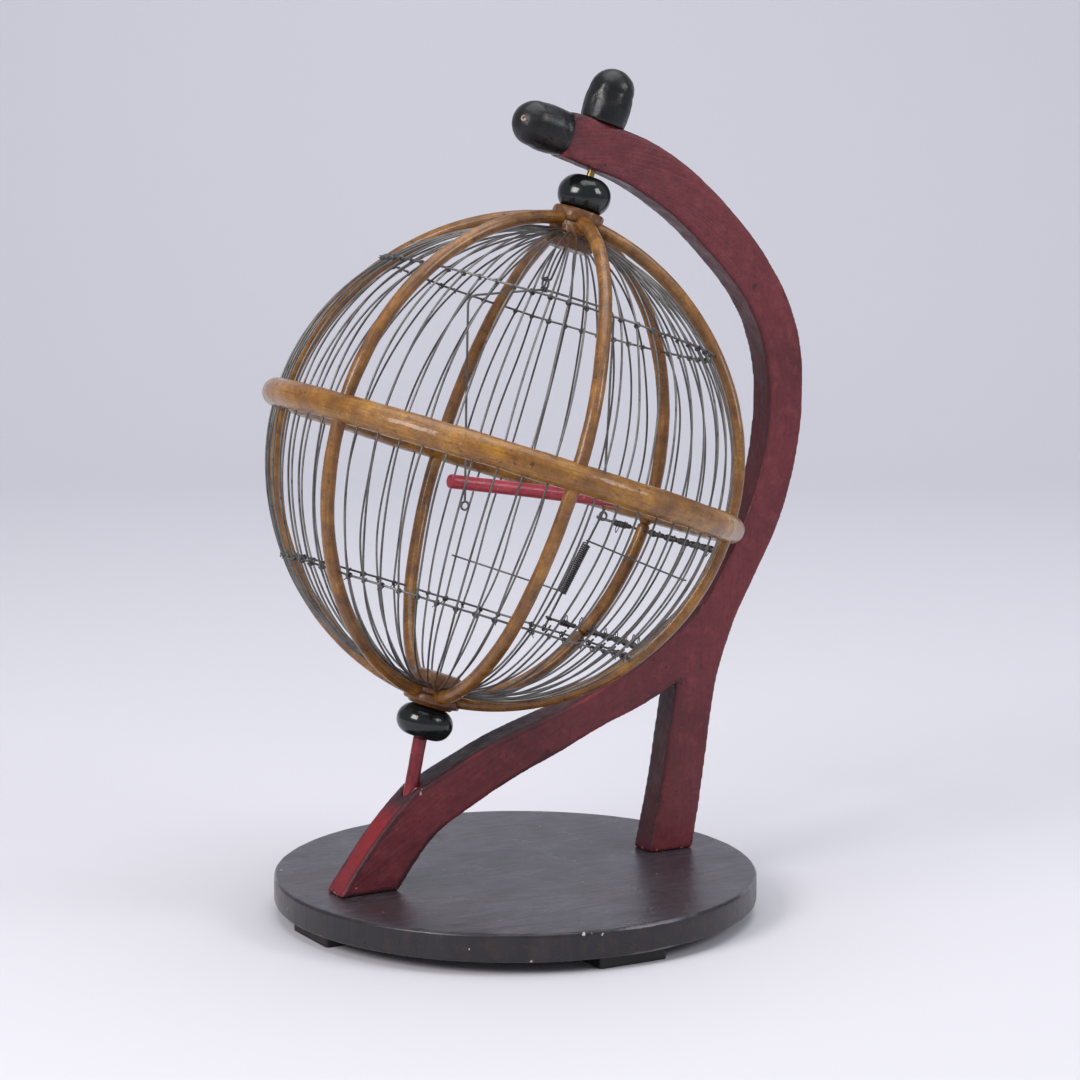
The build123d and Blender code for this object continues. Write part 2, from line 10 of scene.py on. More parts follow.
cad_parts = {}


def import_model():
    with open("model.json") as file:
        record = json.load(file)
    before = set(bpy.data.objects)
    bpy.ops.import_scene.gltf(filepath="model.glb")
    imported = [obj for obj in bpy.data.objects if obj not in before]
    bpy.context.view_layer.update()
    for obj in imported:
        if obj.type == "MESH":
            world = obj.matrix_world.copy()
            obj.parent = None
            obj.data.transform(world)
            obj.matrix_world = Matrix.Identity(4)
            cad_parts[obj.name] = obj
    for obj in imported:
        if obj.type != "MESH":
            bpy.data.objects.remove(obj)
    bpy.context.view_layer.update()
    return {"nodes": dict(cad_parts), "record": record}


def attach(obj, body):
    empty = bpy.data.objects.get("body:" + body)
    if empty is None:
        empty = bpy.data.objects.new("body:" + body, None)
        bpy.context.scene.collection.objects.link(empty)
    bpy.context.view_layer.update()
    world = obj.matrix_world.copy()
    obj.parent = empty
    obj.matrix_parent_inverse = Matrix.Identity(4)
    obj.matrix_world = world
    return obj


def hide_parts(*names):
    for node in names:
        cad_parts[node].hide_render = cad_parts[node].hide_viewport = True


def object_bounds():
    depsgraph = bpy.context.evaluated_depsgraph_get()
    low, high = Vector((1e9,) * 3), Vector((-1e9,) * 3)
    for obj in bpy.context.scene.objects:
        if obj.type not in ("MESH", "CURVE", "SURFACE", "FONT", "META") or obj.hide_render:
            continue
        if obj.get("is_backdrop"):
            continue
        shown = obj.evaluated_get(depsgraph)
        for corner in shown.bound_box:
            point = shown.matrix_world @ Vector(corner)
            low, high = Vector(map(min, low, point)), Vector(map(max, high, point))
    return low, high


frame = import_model()
NODES = frame["nodes"]
MM = 0.001
random.seed(7)  # one draw for each tube, in the order they are made

# ------------------------ sizes shared with the CAD source
# In mm and degrees. The globe's own frame has its origin at the globe's middle, and its heights
# run along the leaning axis.
GLOBE = np.array((-10.0, 0.0, 358.0))
LEAN = math.radians(19.5)
CAGE_R, RING_R, RIB_R, WIRE_R, HOOP_R = 183.0, 11.0, 5.3, 0.85, 0.9
PLUG_R, PLUG_END, CAP_TOP_H, CAP_LOW_H = 19.0, 171.0, 192.0, 188.4
WIRE_END, RIB_END, WIRE_ROWS, WIRE_TURN = 14.5, 12.5, (183.2, 180.6), 45.0
# Half a rib or wire: its side arc's centre, the latitude where its polar arc starts, and a point
# (radius, height) that the polar arc meets.
RIB_TOP, RIB_LOW = (0.0, 28.0, (20.0, CAP_TOP_H)), (-9.0, 45.0, (20.0, CAP_LOW_H))
WIRE_TOP_C, WIRE_LOW_C = 7.3, -10.0
TOP_BENDS = [(WIRE_TOP_C, WIRE_TURN, (PLUG_R, row)) for row in WIRE_ROWS]
LOW_BENDS = [(WIRE_LOW_C, WIRE_TURN, (PLUG_R, row)) for row in WIRE_ROWS]
UPPER_H, UPPER_RHO, LOWER_H, LOWER_RHO = 123.0, 135.3, -116.5, 141.2
RIBS_AT, WIRE_STEP = [17.0 + 60.0 * k for k in range(6)], 6.0
DISC_R, DISC_LOW, DISC_TOP = 190.5, 10.0, 32.0
ARM_UNDER, ARM_OVER, ARM_END, PIN_R = 235.0, 272.0, -34.5, 3.0
POST_ANGLE, POST_TOP, POST_LOW, POST_R = 30.0, (182.7, -7.0), (142.3, -114.3), 1.0
TOP_BAR_H, LOW_BAR_H, BAR_R, DOOR_END, BAR_IN = -18.0, -108.0, 1.1, -27.5, 2.4
DOOR_WIRES, DOOR_WIRE_H = (23.0, 11.0, 5.0, -1.0, -7.0, -13.0, -19.0), (-111.2, -15.2)
# The door's opening: its angles, and the heights above and below which wires and the rib go on.
DOOR_SPAN, DOOR_RIB_H = (-22, 32), (-110.4, -14.5)
WIRE_CUTS, RIB_CUTS = (-10.2, -113.4), (-10.6, -114.4)
COIL_WIRE, COIL_TURNS, COIL_TOP_H, COIL_R = 0.75, 32, -41.0, 2.95
SWING_TILT, BAIL_R, EYE_R, LINK_R, HANG_W = math.radians(10.2), 0.9, 3.2, 4.6, 4.0

TILT = np.array((
    (math.cos(LEAN), 0, math.sin(LEAN)), (0, 1, 0), (-math.sin(LEAN), 0, math.cos(LEAN)),
))
AXIS = TILT @ np.array((0, 0, 1.0))
UP = np.array((0, 0, 1.0))


def world(points):
    """Points of the globe's frame in the part's frame, in mm."""
    return np.atleast_2d(points) @ TILT.T + GLOBE


def cage(theta, rho, h):
    """Globe-frame points at angles in degrees, radii and heights."""
    t = np.radians(theta)
    return np.stack(np.broadcast_arrays(rho * np.cos(t), rho * np.sin(t), h), -1).astype(float)


def pole_arc(c, turn_at, point):
    """Centre and radius of the polar arc that leaves the side arc and meets a point."""
    big = CAGE_R - c
    across, rise = math.cos(math.radians(turn_at)), math.sin(math.radians(turn_at))
    x = point[0] - c
    d = (x ** 2 + point[1] ** 2 - big ** 2) / (2 * (big - x * across - point[1] * rise))
    return c - d * across, -d * rise, big + d


def half_line(bend, end, h_from=0.0, step=2.5):
    """Radii and heights of one half of a rib or wire, from a height to a radius in the hub."""
    c, turn = bend[0], math.radians(bend[1])
    big = CAGE_R - c
    cx, cz, polar = pole_arc(*bend)
    a0, b1 = math.asin(h_from / big), math.acos((end - cx) / polar)
    a = np.linspace(a0, turn, max(3, int((turn - a0) * big / step)))
    b = np.linspace(turn, b1, max(3, int((b1 - turn) * polar / step)))[1:]
    rho = np.concatenate((c + big * np.cos(a), cx + polar * np.cos(b)))
    return rho, np.concatenate((big * np.sin(a), cz + polar * np.sin(b)))


def whole_line(top, low, end):
    """Radii and heights of a rib or wire from the bottom hub to the top one."""
    r0, h0 = half_line(low, end)
    r1, h1 = half_line(top, end)
    return np.concatenate((r0[::-1], r1[1:])), np.concatenate((-h0[::-1], h1[1:]))


def side_rho(c, h, inset=0.0):
    """Radius of the side arc with its centre at c, at a height."""
    return c + np.sqrt((CAGE_R - c - inset) ** 2 - np.square(h))


# ------------------------ lines, in mm
def unit(vectors):
    v = np.asarray(vectors, float)
    return v / np.linalg.norm(v, axis=-1, keepdims=True)


def circle(n):
    """Angles of n points evenly round a circle."""
    return np.arange(n) * 2 * math.pi / n


def hoop(middle, a, b, radius, n):
    """Circle of n points that starts towards a and turns towards b."""
    ang = circle(n)
    return middle + (np.outer(np.cos(ang), a) + np.outer(np.sin(ang), b)) * radius


def dense(points, step=2.5):
    """Polyline with points no more than about a step apart."""
    p = [np.asarray(points[0], float)]
    for a, b in zip(points[:-1], points[1:]):
        a, b = np.asarray(a, float), np.asarray(b, float)
        k = max(1, int(np.linalg.norm(b - a) / step))
        p += [a + (b - a) * i / k for i in range(1, k + 1)]
    return np.array(p)


def eased(points):
    """Polyline in 0.8 mm steps with its corners rubbed round."""
    p = dense(points, 0.8)
    for _ in range(2):
        p[1:-1] = (p[:-2] + 2 * p[1:-1] + p[2:]) / 4
    return p


def rounded(points, bend, n=6):
    """Polyline with its corners rounded."""
    p = [np.asarray(q, float) for q in points]
    line = [p[0]]
    for a, b, c in zip(p[:-2], p[1:-1], p[2:]):
        l1, l2 = np.linalg.norm(a - b), np.linalg.norm(c - b)
        cut = min(bend, l1 * 0.45, l2 * 0.45)
        s, e = b + (a - b) / l1 * cut, b + (c - b) / l2 * cut
        for f in np.arange(n + 1) / n:
            line.append((1 - f) ** 2 * s + 2 * f * (1 - f) * b + f * f * e)
    return np.array(line + [p[-1]])


def smooth_line(points, n):
    """Catmull-Rom line with n points through a few points."""
    p = np.asarray(points, float)
    p = np.concatenate((2 * p[:1] - p[1:2], p, 2 * p[-1:] - p[-2:-1]))
    u = np.linspace(0, len(p) - 3 - 1e-9, n)
    i = u.astype(int)
    t = (u - i)[:, None]
    a, b, c, d = p[i], p[i + 1], p[i + 2], p[i + 3]
    square, cube = 2 * a - 5 * b + 4 * c - d, 3 * b - a - 3 * c + d
    return 0.5 * (2 * b + (c - a) * t + square * t ** 2 + cube * t ** 3)


def helix(line, radius, turns, start, unevenness, seed):
    """Helix of so many turns about a line, its radius slightly uneven."""
    t = unit(np.gradient(line, axis=0))
    a = unit(np.cross(t, (0.2, 0.9, 0.3)))
    phase = start + np.linspace(0, turns * 2 * math.pi, len(line))
    rough = np.random.default_rng(seed).normal(size=len(line))
    r = radius + unevenness * np.convolve(rough, np.ones(9) / 9, "same")
    wound = a * np.cos(phase)[:, None] + np.cross(t, a) * np.sin(phase)[:, None]
    return line + wound * r[:, None]


def smooth_noise(p, scale, seed):
    """Cheap noise in three octaves at mm points, about -1 to 1, the same on every run."""
    rng = np.random.default_rng(seed)
    total = np.zeros(len(p))
    weight = 0
    for octave in range(3):
        f = 2.0 ** octave / scale
        amp = 0.55 ** octave
        for _ in range(6):
            wave = p @ unit(rng.normal(size=3)) * f * 2 * math.pi
            total += amp / 2.4 * np.sin(wave * rng.uniform(0.6, 1.3) + rng.uniform(0, 6.28))
        weight += amp
    return total / weight


# ------------------------ meshes
def read(mesh, key="co"):
    """The places of a mesh's vertices, or their normals, as rows of three."""
    values = np.empty(len(mesh.vertices) * 3)
    mesh.vertices.foreach_get(key, values)
    return values.reshape(-1, 3)


def set_values(mesh, named):
    """Values on the vertices, one number each, under the names that materials read."""
    for key, values in named.items():
        layer = mesh.attributes.get(key) or mesh.attributes.new(key, "FLOAT", "POINT")
        each = np.broadcast_to(values, (len(mesh.vertices),)).astype(np.float32)
        layer.data.foreach_set("value", each)


def mesh_object(name, verts, faces, named=None):
    """Smooth-shaded mesh object from vertices in mm, with named values on them."""
    mesh = bpy.data.meshes.new(name)
    mesh.from_pydata((np.asarray(verts) * MM).tolist(), [], faces)
    set_values(mesh, named or {})
    mesh.validate()
    mesh.update()
    mesh.shade_smooth()
    obj = bpy.data.objects.new(name, mesh)
    bpy.context.scene.collection.objects.link(obj)
    return obj


def tube_faces(rows, sides, closed=False):
    """Faces between rings of points, row after row; the ends are capped unless it is closed."""
    faces = []
    for i in range(rows if closed else rows - 1):
        j = (i + 1) % rows
        for k in range(sides):
            m = (k + 1) % sides
            faces.append((i * sides + k, i * sides + m, j * sides + m, j * sides + k))
    if not closed:
        faces.append(tuple(range(sides))[::-1])
        faces.append(tuple(range((rows - 1) * sides, rows * sides)))
    return faces


class Parts:
    """Collects the tubes that make one piece, with the values that its material reads."""

    def __init__(self):
        self.verts, self.faces, self.values, self.count = [], [], [], 0

    def tube(self, points, radius, sides=8, closed=False):
        """Tube along mm points with turned-in ends; radius is a number or one per point."""
        p = np.asarray(points, float)
        n = len(p)
        r = np.broadcast_to(np.asarray(radius, float), (n,))
        t = unit(np.roll(p, -1, 0) - np.roll(p, 1, 0) if closed else np.gradient(p, axis=0))
        a = [unit(np.cross(t[0], (0.31, 0.17, 0.93)))]
        for ahead in t[1:]:
            a.append(unit(a[-1] - ahead * (a[-1] @ ahead)))
        a = np.array(a)
        if closed:
            last = unit(a[-1] - t[0] * (a[-1] @ t[0]))
            twist = math.atan2(np.cross(last, a[0]) @ t[0], last @ a[0])
            turn = np.linspace(0, twist, n, endpoint=False)[:, None]
            a = a * np.cos(turn) + np.cross(t, a) * np.sin(turn)
        b = np.cross(t, a)
        around = np.stack((np.cos(circle(sides)), np.sin(circle(sides))), -1)
        outward = a[:, None] * around[:, :1] + b[:, None] * around[:, 1:]
        rings = p[:, None] + outward * r[:, None, None]
        girth = r[:, None, None] * around
        along = np.concatenate(([0], np.cumsum(np.linalg.norm(np.diff(p, axis=0), axis=1))))
        if not closed:
            first = p[0] - t[0] * r[0] * 0.5 + outward[0] * r[0] * 0.6
            last = p[-1] + t[-1] * r[-1] * 0.5 + outward[-1] * r[-1] * 0.6
            rings = np.concatenate((first[None], rings, last[None]))
            girth = np.concatenate((girth[:1], girth, girth[-1:]))
            along = np.concatenate((along[:1], along, along[-1:]))
        rows = len(rings)
        self.verts.append(rings.reshape(-1, 3))
        faces = tube_faces(rows, sides, closed)
        self.faces += [[i + self.count for i in face] for face in faces]
        seed = np.full(rows * sides, random.random())
        self.values.append(np.column_stack((np.repeat(along, sides), seed, girth.reshape(-1, 2))))
        self.count += rows * sides

    def make(self, name):
        named = dict(zip(("along", "seed", "gx", "gy"), np.concatenate(self.values).T))
        return mesh_object(name, np.concatenate(self.verts), self.faces, named)


def lathe(profile, place, axis, sides, wobble=0.0, seed=1, scale=14.0):
    """Turned shell from (radius, height) mm points; place is its origin, axis its axis."""
    z = unit(axis)
    x = unit(np.cross((0, 1, 0), z))
    y = np.cross(z, x)
    ang = circle(sides)[None, :, None]
    prof = np.asarray(profile, float)
    radial = prof[:, 0, None, None] * (np.cos(ang) * x + np.sin(ang) * y)
    verts = (radial + prof[:, 1, None, None] * z).reshape(-1, 3)
    if wobble:
        radial = radial.reshape(-1, 3)
        length = np.linalg.norm(radial, axis=1)[:, None]
        uneven_by = (smooth_noise(verts, scale, seed) * wobble)[:, None]
        verts += radial / np.maximum(length, 1e-6) * uneven_by * np.minimum(length / 4, 1)
    return verts + np.asarray(place, float), tube_faces(len(prof), sides)


def applied(obj):
    """The mesh that an object's modifiers give, put on it in their place."""
    graph = bpy.context.evaluated_depsgraph_get()
    mesh = bpy.data.meshes.new_from_object(obj.evaluated_get(graph))
    obj.modifiers.clear()
    obj.data = mesh
    return mesh


def tree_of(points):
    tree = kdtree.KDTree(len(points))
    for i, point in enumerate(points):
        tree.insert(point, i)
    tree.balance()
    return tree


def edge_samples(mesh):
    """Points up to 2 mm apart on the edges where two faces meet at more than 35 degrees."""
    bm = bmesh.new()
    bm.from_mesh(mesh)
    points = []
    for e in bm.edges:
        if len(e.link_faces) == 2 and e.calc_face_angle(0) > math.radians(35):
            a, b = e.verts[0].co, e.verts[1].co
            k = max(1, int((a - b).length / (2 * MM)))
            points += [a.lerp(b, i / k) for i in range(k + 1)]
    bm.free()
    return points


def softened(node, voxel, passes, wobble, seed):
    """Worn copy of a CAD solid: remeshed, its arrises rubbed round, its faces slightly uneven."""
    obj = bpy.data.objects.new(node + "_worn", NODES[node].data.copy())
    bpy.context.scene.collection.objects.link(obj)
    obj.modifiers.new("weld", "WELD").merge_threshold = 0.01 * MM
    sharp = tree_of(edge_samples(applied(obj)))
    remesh = obj.modifiers.new("remesh", "REMESH")
    remesh.mode = "VOXEL"
    remesh.voxel_size = voxel * MM
    smooth = obj.modifiers.new("smooth", "SMOOTH")
    smooth.factor = 0.5
    smooth.iterations = passes
    mesh = applied(obj)
    co = read(mesh)
    set_values(mesh, {"edge": np.array([sharp.find(c)[2] for c in co]) / MM})
    co += read(mesh, "normal") * (smooth_noise(co / MM, 34.0, seed) * wobble * MM)[:, None]
    mesh.vertices.foreach_set("co", co.ravel())
    mesh.shade_smooth()
    mesh.update()
    return obj


# ------------------------ material helpers
class Nodes:
    """Thin helper over a node tree, so that a material reads as a list of steps."""

    def __init__(self, name):
        self.mat = bpy.data.materials.new(name)
        self.mat.use_nodes = True
        self.tree = self.mat.node_tree
        self.bsdf = self.tree.nodes["Principled BSDF"]
        self.coord = self.node("ShaderNodeTexCoord").outputs["Object"]

    def node(self, kind, **settings):
        n = self.tree.nodes.new(kind)
        for k, v in settings.items():
            setattr(n, k, v)
        return n

    def put(self, value, socket):
        """Sets a socket to a number or colour, or links another socket to it."""
        if isinstance(value, tuple):
            socket.default_value = (*value, 1)
        elif isinstance(value, (int, float)):
            socket.default_value = value
        else:
            self.tree.links.new(value, socket)

    def mapped(self, scale, rotate):
        m = self.node("ShaderNodeMapping")
        m.inputs["Scale"].default_value = scale
        m.inputs["Rotation"].default_value = rotate
        self.put(self.coord, m.inputs["Vector"])
        return m.outputs["Vector"]

    def vector(self, *values):
        n = self.node("ShaderNodeCombineXYZ")
        for socket, value in zip(n.inputs, values):
            self.put(value, socket)
        return n.outputs["Vector"]

    def noise(self, scale, detail, rough=0.55, vector=None, distortion=0.0):
        n = self.node("ShaderNodeTexNoise")
        n.inputs["Scale"].default_value = scale
        n.inputs["Detail"].default_value = detail
        n.inputs["Roughness"].default_value = rough
        n.inputs["Distortion"].default_value = distortion
        self.put(vector or self.coord, n.inputs["Vector"])
        return n.outputs["Fac"]

    def ramp(self, fac, *stops):
        """Colour ramp; a stop is a place and a grey value or a colour."""
        r = self.node("ShaderNodeValToRGB")
        els = r.color_ramp.elements
        while len(els) < len(stops):
            els.new(0.5)
        for el, (pos, value) in zip(els, stops):
            el.position = pos
            el.color = (*value, 1) if isinstance(value, tuple) else (value, value, value, 1)
        self.put(fac, r.inputs["Fac"])
        return r.outputs["Color"]

    def attribute(self, name):
        return self.node("ShaderNodeAttribute", attribute_name=name).outputs["Fac"]

    def math(self, op, a, b, clamp=False):
        n = self.node("ShaderNodeMath", operation=op, use_clamp=clamp)
        self.put(a, n.inputs[0])
        self.put(b, n.inputs[1])
        return n.outputs[0]

    def times(self, a, b, clamp=False):
        return self.math("MULTIPLY", a, b, clamp)

    def plus(self, a, b):
        return self.math("ADD", a, b)

    def minus(self, a, b):
        return self.math("SUBTRACT", a, b)

    def mix(self, fac, a, b):
        n = self.node("ShaderNodeMix", data_type="RGBA")
        for name, value in (("Factor", fac), ("A", a), ("B", b)):
            self.put(value, [i for i in n.inputs if i.name == name and i.enabled][0])
        return [o for o in n.outputs if o.enabled][0]

    def marks(self, body, color, height, start, full, most=1.0):
        """A colour over the body, from none at one height of a pattern to most at another."""
        return self.mix(self.ramp(height, (start, 0.0), (full, most)), body, color)

    def bump(self, height, distance, strength):
        b = self.node("ShaderNodeBump")
        b.inputs["Distance"].default_value = distance
        b.inputs["Strength"].default_value = strength
        self.put(height, b.inputs["Height"])
        return b.outputs["Normal"]

    def done(self, color, rough, normal=None, **settings):
        """The material, with its inputs linked and the rest set on the shader's own sockets."""
        self.put(color, self.bsdf.inputs["Base Color"])
        self.put(rough, self.bsdf.inputs["Roughness"])
        if normal is not None:
            self.put(normal, self.bsdf.inputs["Normal"])
        for key, value in settings.items():
            socket = key.replace("_", " ").title().replace("Ior", "IOR")
            self.bsdf.inputs[socket].default_value = value
        return self.mat


def lin(r, g, b):
    """Linear colour from sRGB levels of 0 to 255."""
    levels = (r / 255, g / 255, b / 255)
    return tuple(v / 12.92 if v <= 0.04045 else ((v + 0.055) / 1.055) ** 2.4 for v in levels)


def red_paint(name):
    """Brushed dark red paint: streaks, grain, grime and rubbed arrises, chips and dark spots;
    painted shade and painted light.
    """
    m = Nodes(name)
    edge = m.attribute("edge")
    fine = m.noise(75.0, 6, 0.65)
    brushed = m.vector(m.times(m.attribute("across"), 0.42), m.times(m.attribute("run"), 0.012))
    streak = m.noise(1.0, 6, 0.68, brushed)
    grainy = m.noise(230.0, 5, 0.7)
    body = m.ramp(
        m.noise(11.0, 4, 0.6),
        (0.3, lin(82, 25, 32)), (0.5, lin(104, 36, 43)), (0.72, lin(118, 45, 51)),
    )
    body = m.marks(body, lin(74, 28, 36), streak, 0.42, 0.68, 0.5)
    body = m.marks(body, lin(124, 52, 58), fine, 0.5, 0.66, 0.7)
    body = m.marks(body, lin(66, 24, 32), grainy, 0.5, 0.68, 0.6)
    # Painted shade: the narrow faces are darkened by the "dark" value, most on the leg's upper
    # side.
    body = m.mix(m.times(m.attribute("dark"), 1.0, clamp=True), body, lin(40, 22, 27))
    mottle = m.ramp(m.noise(30.0, 6, 0.7), (0.38, 0.4), (0.58, 1.0))
    # Painted light: the key-facing end of the leg's toe gets a brighter, more saturated red.
    body = m.mix(m.times(m.attribute("toe_light"), mottle), body, lin(130, 18, 24))
    where = m.ramp(m.noise(8.0, 3, 0.6), (0.46, 0.0), (0.58, 1.0))
    wear = m.minus(m.times(m.noise(60.0, 7, 0.75), 5.0), edge)
    worn = m.times(m.ramp(wear, (0.4, 0.0), (1.1, 1.0)), where)
    body = m.mix(m.times(worn, 0.8), body, lin(150, 42, 44))
    grime = m.minus(m.times(m.noise(24.0, 6, 0.7), 9.0), edge)
    grimy = m.times(m.ramp(grime, (0.2, 0.0), (1.0, 0.75)), m.minus(1.0, where))
    body = m.mix(grimy, body, lin(48, 20, 27))
    near = m.times(m.ramp(edge, (0.0, 1.0), (1.0, 0.0)), 0.10)
    scuffed = m.plus(m.plus(m.noise(160.0, 4, 0.65), near), m.times(m.attribute("scuff"), 0.16))
    chips = m.ramp(scuffed, (0.735, 0.0), (0.75, 1.0))
    body = m.mix(chips, body, lin(190, 156, 146))
    body = m.marks(body, lin(44, 20, 26), m.noise(46.0, 4, 0.65), 0.65, 0.71, 0.85)
    height = m.plus(m.times(streak, 0.8), m.plus(fine, m.times(grainy, 0.5)))
    height = m.minus(height, m.times(m.plus(chips, worn), 0.5))
    rough = m.ramp(fine, (0.35, 0.32), (0.65, 0.56))
    return m.done(body, rough, m.bump(height, 0.0009, 0.7), specular_ior_level=0.4)


def dowel_paint(name, low, high, worn):
    """Glossier red paint on round rods, rubbed in places and speckled with light chips."""
    m = Nodes(name)
    fine = m.noise(120.0, 5, 0.65)
    body = m.ramp(m.noise(46.0, 5, 0.6), (0.35, low), (0.65, high))
    body = m.marks(body, worn, fine, 0.58, 0.7, 0.8)
    body = m.marks(body, lin(196, 160, 156), m.noise(260.0, 2), 0.7, 0.74, 0.7)
    return m.done(body, m.ramp(fine, (0.3, 0.25), (0.7, 0.48)), m.bump(fine, 0.0004, 0.6))


def slate_paint(name):
    """Slate-grey paint over wood: faint grain, stains, a side darkened with painted shade and
    spotted with rust, and chips where it was hit.
    """
    m = Nodes(name)
    edge, rim = m.attribute("edge"), m.attribute("rim")
    grain = m.noise(15.0, 9, 0.7, m.mapped((1.0, 4.5, 0.15), (0, 0, 0.5)), 1.6)
    fine = m.noise(190.0, 5, 0.7)
    body = m.ramp(
        grain, (0.32, lin(34, 32, 37)), (0.5, lin(56, 53, 59)), (0.68, lin(76, 74, 82)),
    )
    body = m.marks(body, lin(58, 47, 50), m.noise(6.5, 5, 0.6), 0.46, 0.68, 0.5)
    body = m.marks(body, lin(88, 85, 91), fine, 0.5, 0.78, 0.3)
    body = m.marks(body, lin(28, 26, 30), m.noise(90.0, 4, 0.65), 0.54, 0.72, 0.6)
    mottle = m.ramp(m.noise(26.0, 6, 0.7), (0.4, 0.1), (0.58, 1.0))
    body = m.mix(m.times(m.attribute("stain_and_shade"), mottle), body, lin(62, 40, 38))
    # Painted shade: the disc's side is darkened most of the way to lin(30, 29, 32).
    body = m.mix(m.times(rim, 0.8), body, lin(30, 29, 32))
    rust = m.ramp(m.noise(70.0, 6, 0.7), (0.52, 0.0), (0.62, 0.6))
    body = m.mix(m.times(rim, rust), body, lin(58, 44, 40))
    where = m.ramp(m.noise(9.0, 3, 0.6), (0.5, 0.0), (0.6, 1.0))
    rub = m.minus(m.times(m.noise(60.0, 5, 0.7), 5.0), edge)
    body = m.mix(m.times(m.ramp(rub, (0.4, 0.0), (0.9, 0.7)), where), body, lin(110, 108, 116))
    near = m.times(m.ramp(edge, (0.0, 1.0), (1.0, 0.0)), 0.09)
    hit = m.plus(m.plus(m.noise(110.0, 3, 0.6), near), m.times(m.attribute("knock"), 0.34))
    body = m.marks(body, lin(182, 176, 172), hit, 0.742, 0.752)
    height = m.plus(m.times(grain, 1.3), m.times(fine, 0.5))
    rough = m.ramp(m.noise(30.0, 6, 0.65), (0.3, 0.25), (0.7, 0.35))
    return m.done(body, rough, m.bump(height, 0.0005, 0.6), specular_ior_level=0.42)


def black_paint(name):
    m = Nodes(name)
    fine = m.noise(90.0, 5, 0.6)
    body = m.ramp(fine, (0.35, lin(17, 17, 19)), (0.7, lin(34, 33, 36)))
    return m.done(body, m.ramp(fine, (0.3, 0.45), (0.7, 0.65)), m.bump(fine, 0.0004, 0.5))


def lacquer(name, dark, light, worn, rough_low, rough_high, bump, specular):
    """Black lacquer on turned wood, rubbed in places, with a light scar where one is given."""
    m = Nodes(name)
    fine = m.noise(140.0, 6, 0.65)
    patch = m.noise(48.0, 4, 0.6)
    body = m.ramp(patch, (0.3, dark), (0.7, light))
    body = m.marks(body, worn, m.noise(80.0, 5, 0.65), 0.6, 0.7, 0.7)
    scar = m.times(m.attribute("scar"), m.plus(fine, 0.4))
    body = m.marks(body, lin(168, 136, 108), scar, 0.55, 0.65)
    rough = m.ramp(patch, (0.3, rough_low), (0.7, rough_high))
    height = m.plus(patch, m.times(fine, 0.35))
    return m.done(body, rough, m.bump(height, bump, 0.6), specular_ior_level=specular)


def cane(name, dark, mid, light, deep, rough_low, rough_high, coat, bump):
    """Varnished cane or wood: bands and grain along the piece, patches and dark flecks."""
    m = Nodes(name)
    along, seed = m.attribute("along"), m.attribute("seed")
    bands = m.noise(7.0, 5, 0.65, m.vector(m.times(along, 0.004), seed))
    grain = m.noise(1.0, 5, 0.65, m.vector(
        m.plus(m.times(along, 0.035), m.times(seed, 60.0)),
        m.times(m.attribute("gx"), 0.8), m.times(m.attribute("gy"), 0.8),
    ))
    patch = m.noise(44.0, 7, 0.7)
    fine = m.noise(260.0, 5, 0.7)
    body = m.ramp(patch, (0.3, dark), (0.5, mid), (0.68, light))
    body = m.marks(body, deep, bands, 0.42, 0.62, 0.4)
    body = m.marks(body, deep, grain, 0.46, 0.66, 0.65)
    body = m.marks(body, deep, fine, 0.54, 0.68, 0.65)
    body = m.marks(body, lin(44, 30, 22), m.noise(150.0, 5, 0.7), 0.6, 0.68, 0.8)
    rough = m.ramp(m.noise(64.0, 5, 0.65), (0.3, rough_low), (0.7, rough_high))
    height = m.plus(m.plus(m.times(patch, 1.2), m.times(fine, 0.5)), m.times(grain, 0.5))
    return m.done(
        body, rough, m.bump(height, bump, 0.75),
        coat_weight=coat, coat_roughness=0.12, specular_ior_level=0.45,
    )


def metal(name, dark, light, rough_low, rough_high, metallic):
    """Dull drawn wire or rod with brown spots."""
    m = Nodes(name)
    fine = m.noise(160.0, 4, 0.6)
    body = m.ramp(m.noise(40.0, 4, 0.6), (0.3, dark), (0.7, light))
    body = m.marks(body, lin(56, 46, 38), fine, 0.56, 0.7, 0.75)
    rough = m.ramp(fine, (0.3, rough_low), (0.7, rough_high))
    return m.done(body, rough, m.bump(fine, 0.0001, 0.5), metallic=metallic)


